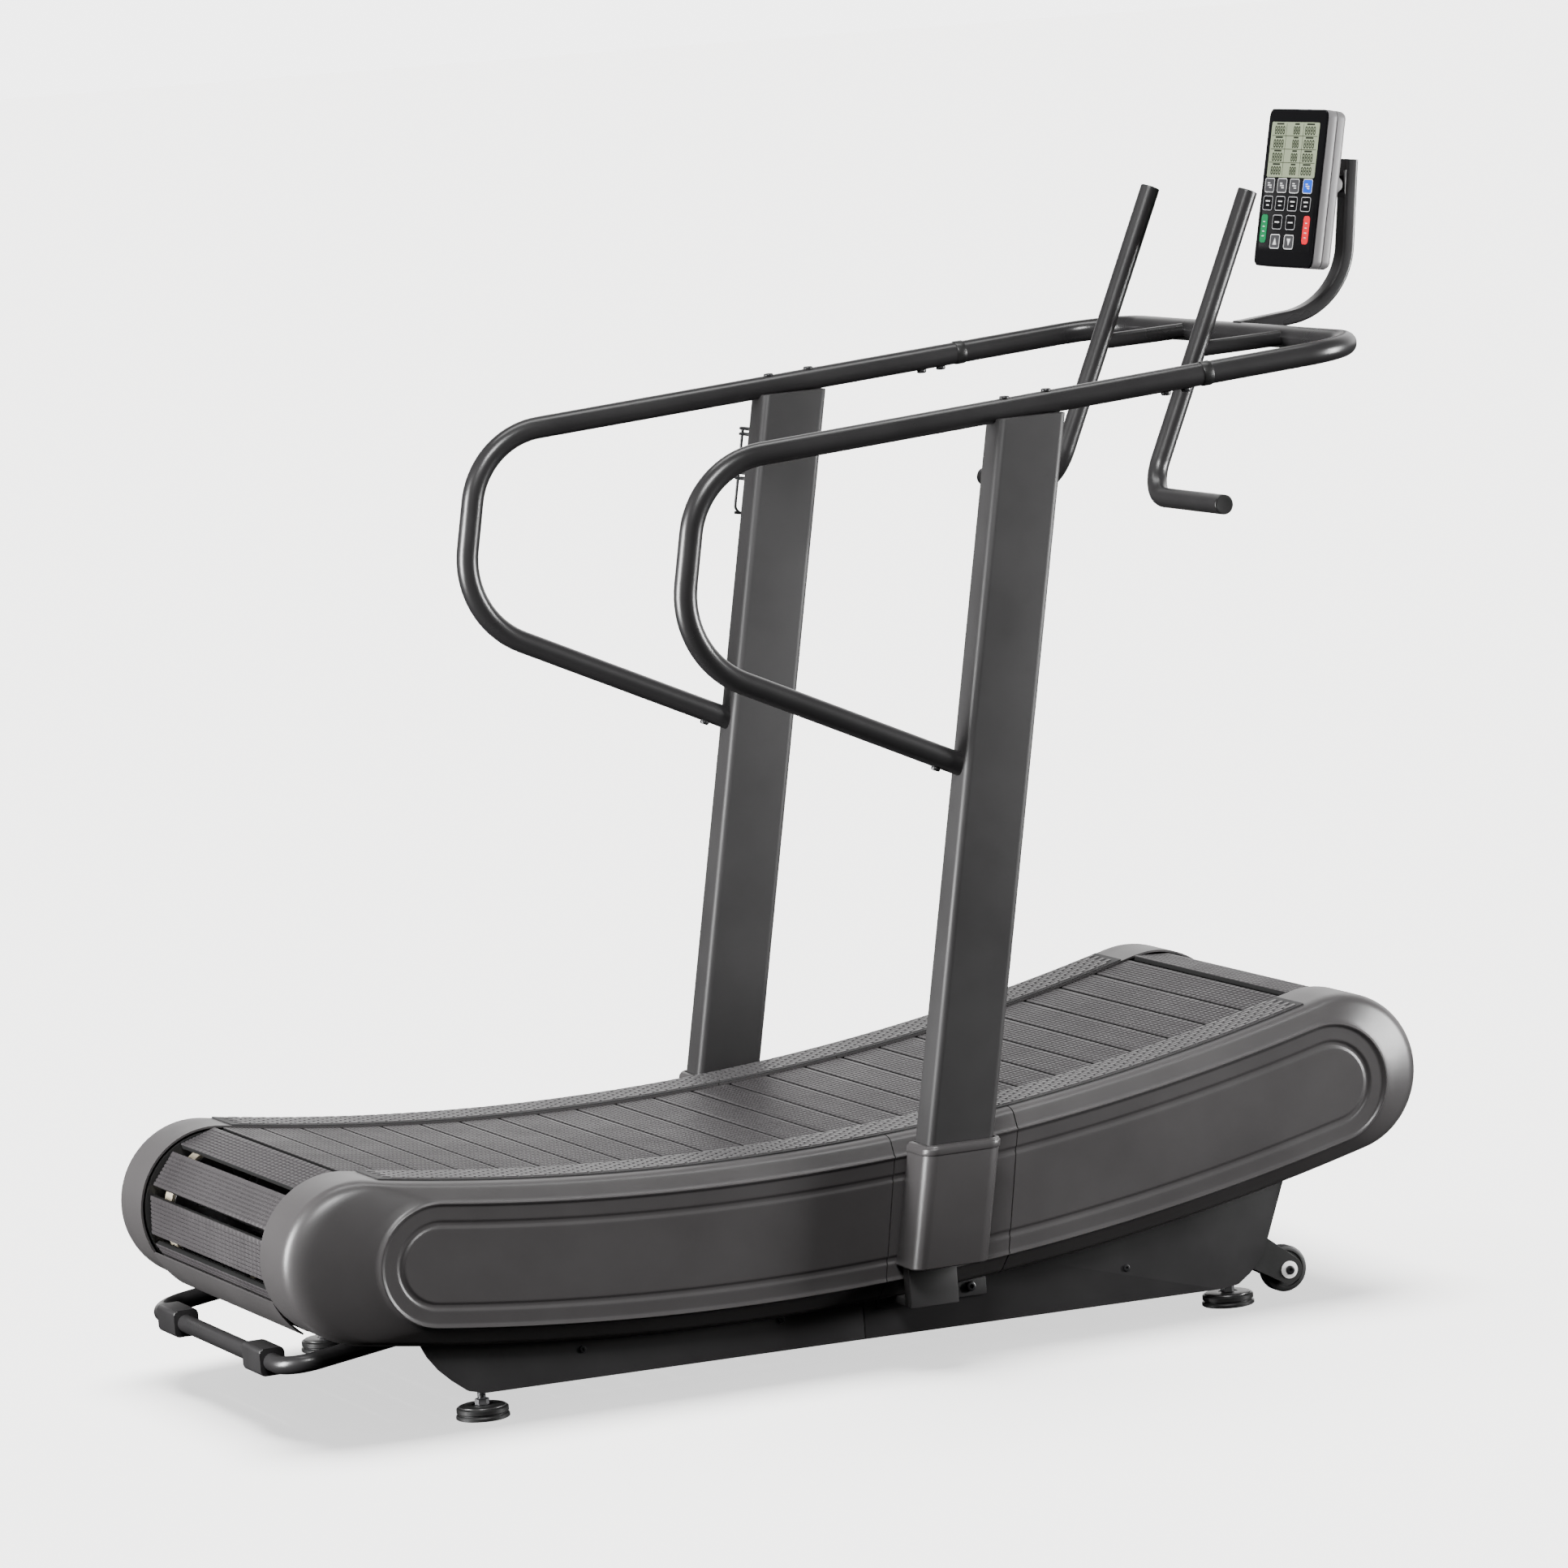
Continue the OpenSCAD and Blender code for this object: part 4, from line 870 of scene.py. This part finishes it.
def pull_bars():
    along = (BAR_TOP - BAR_LOW).normalized()
    strut_x = BAR_LOW.x + (STRUT_Z - BAR_LOW.z) * along.x / along.z
    front_z = rail_z(LOOP_FRONT)
    y = Vector((0, BAR_Y, 0))
    strut = [(strut_x, BAR_Y, STRUT_Z), (750, BAR_Y, (STRUT_Z + front_z) / 2), (812, BAR_Y, front_z)]
    for side, word in SIDES:
        bm = tube([BAR_TOP + y, BAR_LOW + y, BAR_LOW + Vector((0, BAR_END_Y, 0))], [55], BAR_R, n=40)
        tube(strut, [400], 11, bm, 32)
        place(f"pull_bar_{word}_tube", bm, "graphite_paint", stands_for=[f"pull_bar_{word}"],
              mirror=side == RIGHT)
    plugs = bmesh.new()
    dome = [(BAR_R, 0), (BAR_R, 2.0), (BAR_R - 0.4, 2.7), (BAR_R - 1.2, 3), (BAR_R - 3, 2.8), (0, 2.8)]
    for side in (RIGHT, LEFT):
        lathe(dome, BAR_TOP + side * y, along, 40, plugs)
        lathe(dome, BAR_LOW + Vector((0, side * BAR_END_Y, 0)), (0, side, 0), 40, plugs)
    place("bar_end_plugs", plugs, "black_plastic", stands_for=["bar_plugs"])


COLLAR_BOLTS, UPRIGHT_BOLTS, FLANGE_BOLTS = (506, 537), (263, 326), (17, 146)
SKIRT_SCREWS, FLANGE_BOLT_Z, SKIRT_SCREW_Z = (-431, -138, 386), 86, 78


def bolts():
    bm = bmesh.new()
    for side in (RIGHT, LEFT):
        out = (0, side, 0)
        for x in COLLAR_BOLTS:
            screw_head((x, side * RAIL_Y, rail_z(x) - RAIL_R + 0.4), -UP, 7, 5, bm)
        for x in UPRIGHT_BOLTS:
            screw_head((x, side * RAIL_Y, rail_z(x) + RAIL_R - 0.6), UP, 7, 3.4, bm)
        screw_head((121.2, side * RAIL_Y, 822.0), (-0.428, 0, -0.903), 6.5, 4.5, bm)
        for x in FLANGE_BOLTS:
            screw_head((x, side * FLANGE_Y, FLANGE_BOLT_Z), out, 7, 5, bm)
    place("rail_screw_heads", bm, "bolt_black", stands_for=["rail_bolts"])
    bm = bmesh.new()
    for side in (RIGHT, LEFT):
        for x in SKIRT_SCREWS:
            screw_head((x, side * SKIRT_Y[1], SKIRT_SCREW_Z), (0, side, 0), 5, 2, bm)
    place("skirt_screw_heads", bm, "bolt_black", stands_for=["skirt_screws"])


# ======== console
def stalk():
    path = bent_path([(822, 0, 1346), (990, 0, 1361), (1017, 0, 1572)], [110], 3.0)
    section = rect(30, 20, 5, 6)
    place("console_stalk_bar", swept(path, section), "graphite_paint", stands_for=["console_stalk"])


def in_console(x, y, z):
    """A point in the console's own frame, in row-frame millimetres."""
    c, s = math.cos(CONSOLE_TILT), math.sin(CONSOLE_TILT)
    return CONSOLE_C + Vector((x * c + z * s, y, -x * s + z * c))


def console_plate(shape, levels, centre=(0, 0), bm=None):
    """Lofts a rounded rectangle (width, height, corner, steps) through (depth, inset) levels."""
    return absorb(bm, loft([face_loop(shape, x, inset, *centre) for x, inset in levels]))


def face_loop(shape, x, inset=0.0, y=0.0, z=0.0):
    """A rounded rectangle about (y, z) at depth x in the console's own frame."""
    return [in_console(x, y + a, z + b) for a, b in rect(*shape, inset)]


KNUCKLE_X, KNUCKLE_Z, LUG_R, LUG_Y = 986.0, 1538.0, 12.0, (9.3, 14.3)
FACE = (190.0, 228.0, 12.0, 10)


def console_shell():
    front = [(4.2, 1.2), (4.5, 0.4), (5.2, 0.0), (16.8, 0.0), (17.4, 0.4), (17.7, 1.2)]
    back = [(18.3, 1.2), (18.6, 0.4), (19.2, 0.0), (27.0, 0.2), (30.0, 1.4), (32.4, 3.4), (33.7, 6.4),
            (34.0, 10.0)]
    place("console_front_shell", console_plate(FACE, front), "silver_plastic", "console_head",
          ["console_front"])
    bm = console_plate(FACE, back)
    console_plate((187, 225, 10.5, 8), [(17.6, 0.0), (18.4, 0.0)], bm=bm)
    lug = [(KNUCKLE_X + a, KNUCKLE_Z + b) for a, b in arc_points(LUG_R, -90, 90, 12)]
    lug += [(948, 1557), (943, 1533)]
    for side in (RIGHT, LEFT):
        slab(lug, *sorted(side * y for y in LUG_Y), 0.8, bm)
    pin = [(0, -16), (3.6, -16), (4, -15.6), (4, 15.6), (3.6, 16), (0, 16)]
    lathe(pin, (KNUCKLE_X, 0, KNUCKLE_Z), (0, 1, 0), 32, bm)
    place("console_back_shell", bm, "silver_plastic", "console_head", ["console_back"])
    bezel = [(4.2, 0.6), (3.6, 0.1), (2.2, 0.0), (1.2, 0.4), (0.8, 1.2), (0.7, 2.6)]
    place("console_bezel", console_plate(FACE, bezel), "lens_gloss", "console_head", ["console_lens"])


LCD_Y, LCD_Z = (-76.0, 82.0), (15.0, 95.0)
LCD_INK, KEY_INK = (0.55, 0.40), (0.45, 0.20)
LCD_ROWS, DIGIT_H = (89.0, 69.5, 50.0, 30.5), 12.0
LCD_COLUMNS = ((70.0, 4, 8.6), (8.0, 3, 7.4), (-30.0, 4, 9.0))


def display():
    """The display: blocks of seven-segment figures with every stroke on, and lines between them."""
    (y0, y1), (z0, z1) = LCD_Y, LCD_Z
    bm = console_plate((y1 - y0, z1 - z0, 3, 5), [(0.9, 0.0), (0.6, 0.0), (0.5, 0.5)],
                       ((y0 + y1) / 2, (z0 + z1) / 2))
    place("lcd_glass", bm, "lcd_panel", "console_head", ["lcd"])
    bm = bmesh.new()
    for left, count, step in LCD_COLUMNS:
        for z in LCD_ROWS:
            for k in range(count):
                digit(bm, left - k * step, z - DIGIT_H, step * 0.72, DIGIT_H)
            tile(bm, left - count * step / 2 + 1.0, z + 3.2, count * step * 0.7, 2.6, LCD_INK)
    for y in (32.0, -24.0):
        tile(bm, y, 55.0, 1.2, 76.0, LCD_INK)
    for z in (75.0, 55.6, 36.2):
        tile(bm, 3.0, z, 150.0, 1.0, LCD_INK)
    place("lcd_segments", bm, "ink_dark", "console_head")


def tile(bm, y, z, w, h, depths):
    """A flat raised rectangle about (y, z) on the console's face."""
    corners = ((-1, -1), (1, -1), (1, 1), (-1, 1))
    loft([[in_console(x, y + a * w / 2, z + b * h / 2) for a, b in corners] for x in depths], bm)


FLAT_STROKES = ((0, 1), (0, 0), (0, -1))
TALL_STROKES = ((-1, 0.5), (1, 0.5), (-1, -0.5), (1, -0.5))


def digit(bm, y, z, w, h):
    """A seven-segment figure; z is its foot and y its left edge."""
    cy, cz = y - w / 2, z + h / 2
    for strokes, size in ((FLAT_STROKES, (w * 0.75, 2.2)), (TALL_STROKES, (2.3, h * 0.38))):
        for a, b in strokes:
            tile(bm, cy + a * w * 0.4, cz + b * h * 0.42, *size, LCD_INK)


KEY_COLUMNS = (68.0, 27.0, -14.0, -58.0)
WIDE, TALL = (31.0, 21.0, 4, 5), (21.0, 41.0, 6, 5)


def key_frame(bm, y, z, width):
    """A thin raised outline round a wide key."""
    w, h, r, steps = WIDE
    inner = (w - 2 * width, h - 2 * width, r - width, steps)
    rings = [ring(bm, face_loop(shape, x, 0.0, y, z))
             for x, shape in ((0.6, WIDE), (0.3, WIDE), (0.3, inner), (0.6, inner))]
    skin(bm, rings)


def key_pad(bm, y, z, shape=WIDE):
    loft([face_loop(shape, x, inset, y, z) for x, inset in ((0.85, 0.0), (0.45, 0.0), (0.35, 0.4))], bm)


def arrow(bm, y, z, size, up):
    s = size if up else -size
    corners = ((-1, -0.8), (1, -0.8), (0, 0.9))
    loft([[in_console(x, y + a * size, z + b * s) for a, b in corners] for x in (0.5, 0.2)], bm)


def keys():
    names = ("key_black", "key_grey", "key_blue", "key_green", "key_red", "ink_white", "ink_grey")
    pads = {name: bmesh.new() for name in names}
    black, grey, white, line = pads["key_black"], pads["key_grey"], pads["ink_white"], pads["ink_grey"]
    for k, y in enumerate(KEY_COLUMNS):
        key_pad(pads["key_blue"] if k == 3 else grey, y, 3)
        key_frame(white, y, 3, 1.0)
        for d in (-1, 0, 1):
            tile(white, y + 3 * d, 3 + 3.15 * d, 12 - 4.5 * abs(d), 1.6, KEY_INK)
        key_pad(black, y, -23)
        key_frame(line, y, -23, 0.9)
        tile(white, y, -20, 14, 1.8, KEY_INK)
        tile(white, y, -26, 9, 1.8, KEY_INK)
    for y in (30.0, -14.0):
        key_pad(black, y, -50)
        key_frame(line, y, -50, 0.9)
        tile(white, y, -50, 15, 1.8, KEY_INK)
    for y, up in ((31.0, True), (-15.0, False)):
        key_pad(grey, y, -78)
        key_frame(white, y, -78, 1.2)
        arrow(white, y, -78, 6, up)
    for y, name in ((73.0, "key_green"), (-67.0, "key_red")):
        key_pad(pads[name], y, -60, TALL)
        for d in (-11, -4, 3, 10):
            tile(white, y, d - 60, 7, 1.3, KEY_INK)
    film = console_plate((168, 106, 8, 6), [(0.9, 0.0), (0.75, 0.0), (0.65, 0.3)], (0, -40))
    place("key_film", film, "key_black", "console_head", ["keypad"])
    for name, bm in pads.items():
        place("keys_" + name, bm, name, "console_head")


# ======== bottle cage
CAGE_R, CAGE_LOW = 39.5, 1108.0
CAGE_RINGS = (1230.0, 1222.0, 1166.0, 1158.0)


def bottle_cage():
    """Two double rings and three bent wires on a strap against the left upright."""
    y = RAIL_Y + UPRIGHT_T / 2 + CAGE_R + 0.5
    lean_up = Vector((math.sin(LEAN), 0, math.cos(LEAN)))
    across = Vector((math.cos(LEAN), 0, -math.sin(LEAN))) * CAGE_R
    out = Vector((0, CAGE_R, 0))
    bm = bmesh.new()
    for z in CAGE_RINGS:
        centre = Vector((upright_x(z), y, z))
        loop = [centre + across * a + out * b for a, b in circle(1.0, 72)]
        swept(loop, circle(2.5, 12), lean_up, loop=True, bm=bm)
    low, top = (Vector((upright_x(z), y, z)) for z in (CAGE_LOW, CAGE_RINGS[0]))
    for reach, square_to in ((across, out), (-across, out), (out, Vector((1, 0, 0)))):
        tube([low - reach, low + reach, top + reach], [12], 2.1, bm, 12, up=square_to)
    strap_y = Vector((0, CAGE_R + 2, 0))
    swept([low - lean_up * 10 - strap_y, top + lean_up * 8 - strap_y], rect(18, 4, 1.2, 4), across, bm=bm)
    place("bottle_cage_wire", bm, "bolt_black", stands_for=["bottle_cage"])


# ======== carried-over CAD nodes
KEPT = {
    "side_frame_right": "black_paint", "side_frame_left": "black_paint", "cross_members": "graphite_paint",
    "bearing_blocks": "graphite_paint", "deck_bearings": "steel", "drive_belts": "belt_rubber",
    "rear_shaft": "steel", "front_shaft": "steel", "rear_pulleys": "steel", "front_pulleys": "steel",
    "console_bracket": "graphite_paint",
}


def keep_cad_nodes():
    for name, finish in KEPT.items():
        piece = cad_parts[name]
        piece.data.materials.clear()
        piece.data.materials.append(FINISH[finish])
        for poly in piece.data.polygons:
            poly.material_index = 0
        weld = piece.modifiers.new("Weld", "WELD")
        weld.merge_threshold = 0.00001
        soft = piece.modifiers.new("Edges", "BEVEL")
        soft.width = 0.0006
        soft.segments = 2
        soft.limit_method = "ANGLE"
        soft.angle_limit = rad(40)


# ======== stage, light and camera
FLOOR_GLOW, FLOOR_SUN, WALL_GLOW = 1.3, 11.6, 4.5
FLOOR_REACH, FLOOR_Z, WALL_R, WALL_Z = 90.0, -0.0005, 60.0, (-1.0, 60.0)


def sheet(name, points, faces, colour, glow):
    """A plain backdrop surface that lights and reflects in nothing."""
    mesh = bpy.data.meshes.new(name)
    mesh.from_pydata(points, [], faces)
    obj = bpy.data.objects.new(name, mesh)
    bpy.context.scene.collection.objects.link(obj)
    made = bpy.data.materials.new(name + "_finish")
    made.use_nodes = True
    shader = made.node_tree.nodes["Principled BSDF"]
    shader.inputs["Base Color"].default_value = (*colour, 1)
    shader.inputs["Roughness"].default_value = 0.95
    shader.inputs["Specular IOR Level"].default_value = 0.0
    shader.inputs["Emission Color"].default_value = (1.0, 1.0, 1.0, 1)
    shader.inputs["Emission Strength"].default_value = glow
    mesh.materials.append(made)
    obj.visible_diffuse = obj.visible_glossy = obj.visible_shadow = False
    return obj


def stage():
    corners = [(x * FLOOR_REACH, y * FLOOR_REACH, FLOOR_Z) for x, y in ((-1, -1), (1, -1), (1, 1), (-1, 1))]
    floor = sheet("studio_floor", corners, [(0, 1, 2, 3)], (0.80, 0.79, 0.775), FLOOR_GLOW)
    n = 64
    points = [(x, y, z) for z in WALL_Z for x, y in circle(WALL_R, n)]
    faces = [(i, (i + 1) % n, n + (i + 1) % n, n + i) for i in range(n)] + [tuple(range(n, 2 * n))]
    wall = sheet("studio_wall", points, faces, (0.0, 0.0, 0.0), WALL_GLOW)
    return [floor, wall]


def area_light(name, at, target, size, power):
    data = bpy.data.lights.new(name, "AREA")
    data.shape = "RECTANGLE"
    data.size, data.size_y = size
    data.energy = power
    lamp = bpy.data.objects.new(name, data)
    bpy.context.scene.collection.objects.link(lamp)
    lamp.location = at
    lamp.rotation_mode = "QUATERNION"
    lamp.rotation_quaternion = (Vector(target) - Vector(at)).to_track_quat("-Z", "Y")
    return lamp


def studio_world():
    """A pale cyclorama beyond the machine, dimmer overhead, dark below and on the near side."""
    world = bpy.data.worlds.new("Studio")
    bpy.context.scene.world = world
    world.use_nodes = True
    tree = world.node_tree
    coords = node(tree, "ShaderNodeTexCoord").outputs["Generated"]
    split = node(tree, "ShaderNodeSeparateXYZ", {"Vector": coords})
    towards = node(tree, "ShaderNodeVectorMath", {0: coords, 1: (0.62, 0.78, 0.0)}, operation="DOT_PRODUCT")
    soft = {"interpolation_type": "SMOOTHSTEP"}
    beyond = ramp(tree, towards.outputs["Value"], 0.6, 0.97, 0.1, 2.2, **soft)
    near = ramp(tree, split.outputs["Y"], 0.25, -0.5, 0.0, 0.07, **soft)
    above = ramp(tree, split.outputs["Z"], -0.12, 0.12, 0.03, 1.0, **soft)
    strength = math_node(tree, "MULTIPLY", math_node(tree, "ADD", beyond, near), above)
    back = tree.nodes["Background"].inputs
    tree.links.new(strength, back["Strength"])
    back["Color"].default_value = (1.0, 0.99, 0.985, 1)


def only_on(lamps, objs, state):
    group = bpy.data.collections.new("Receivers" + state.title())
    for obj in objs:
        group.objects.link(obj)
    for link in group.collection_objects:
        link.light_linking.link_state = state
    for lamp in lamps:
        lamp.light_linking.receiver_collection = group


def lights(stage_parts):
    studio_world()
    lamps = [
        area_light("rear_box", (-4.4, 0.3, 1.2), (-0.5, -0.1, 0.4), (1.2, 2.2), 700),
        area_light("top_box", (0.2, 0.6, 4.4), (0, 0, 0.3), (3.4, 0.9), 80),
        area_light("front_box", (4.6, -2.2, 1.2), (0.6, 0, 0.4), (1.0, 2.0), 480),
        area_light("near_box", (-3.0, -6.5, 7.0), (0, 0, 0.5), (2.6, 1.8), 1000),
    ]
    only_on(lamps, stage_parts, "EXCLUDE")
    data = bpy.data.lights.new("floor_sun", "SUN")
    data.energy, data.angle = FLOOR_SUN, rad(38)
    wash = bpy.data.objects.new("floor_sun", data)
    bpy.context.scene.collection.objects.link(wash)
    wash.rotation_euler = (rad(-14), rad(6), 0)
    only_on([wash], stage_parts[:1], "INCLUDE")


CAMERA_AT, CAMERA_LENS = (-4.3254, -11.0164, 2.1788), 193.878
CAMERA_YAW, CAMERA_PITCH, CAMERA_ROLL = rad(68.262), rad(6.772), rad(-4.408)


def camera():
    flat = Vector((math.cos(CAMERA_YAW), math.sin(CAMERA_YAW), 0))
    ahead = flat * math.cos(CAMERA_PITCH) - UP * math.sin(CAMERA_PITCH)
    across = flat.cross(UP)
    up = across.cross(ahead)
    right = math.cos(CAMERA_ROLL) * across + math.sin(CAMERA_ROLL) * up
    top = -math.sin(CAMERA_ROLL) * across + math.cos(CAMERA_ROLL) * up
    data = bpy.data.cameras.new("Camera")
    data.sensor_width, data.lens = 36.0, CAMERA_LENS
    data.clip_start, data.clip_end = 0.1, 2000.0
    cam = bpy.data.objects.new("Camera", data)
    bpy.context.scene.collection.objects.link(cam)
    turn = Matrix((right, top, -ahead)).transposed().to_4x4()
    cam.matrix_world = Matrix.Translation(CAMERA_AT) @ turn
    bpy.context.scene.camera = cam


def build():
    camera()
    lights(stage())
    keep_cad_nodes()
    covers()
    tread_strips()
    slats()
    skirts()
    feet()
    wheels()
    rear_handle()
    rear_panel()
    uprights()
    boots()
    handrails()
    front_loop()
    pull_bars()
    bolts()
    stalk()
    console_shell()
    display()
    keys()
    bottle_cage()


build()
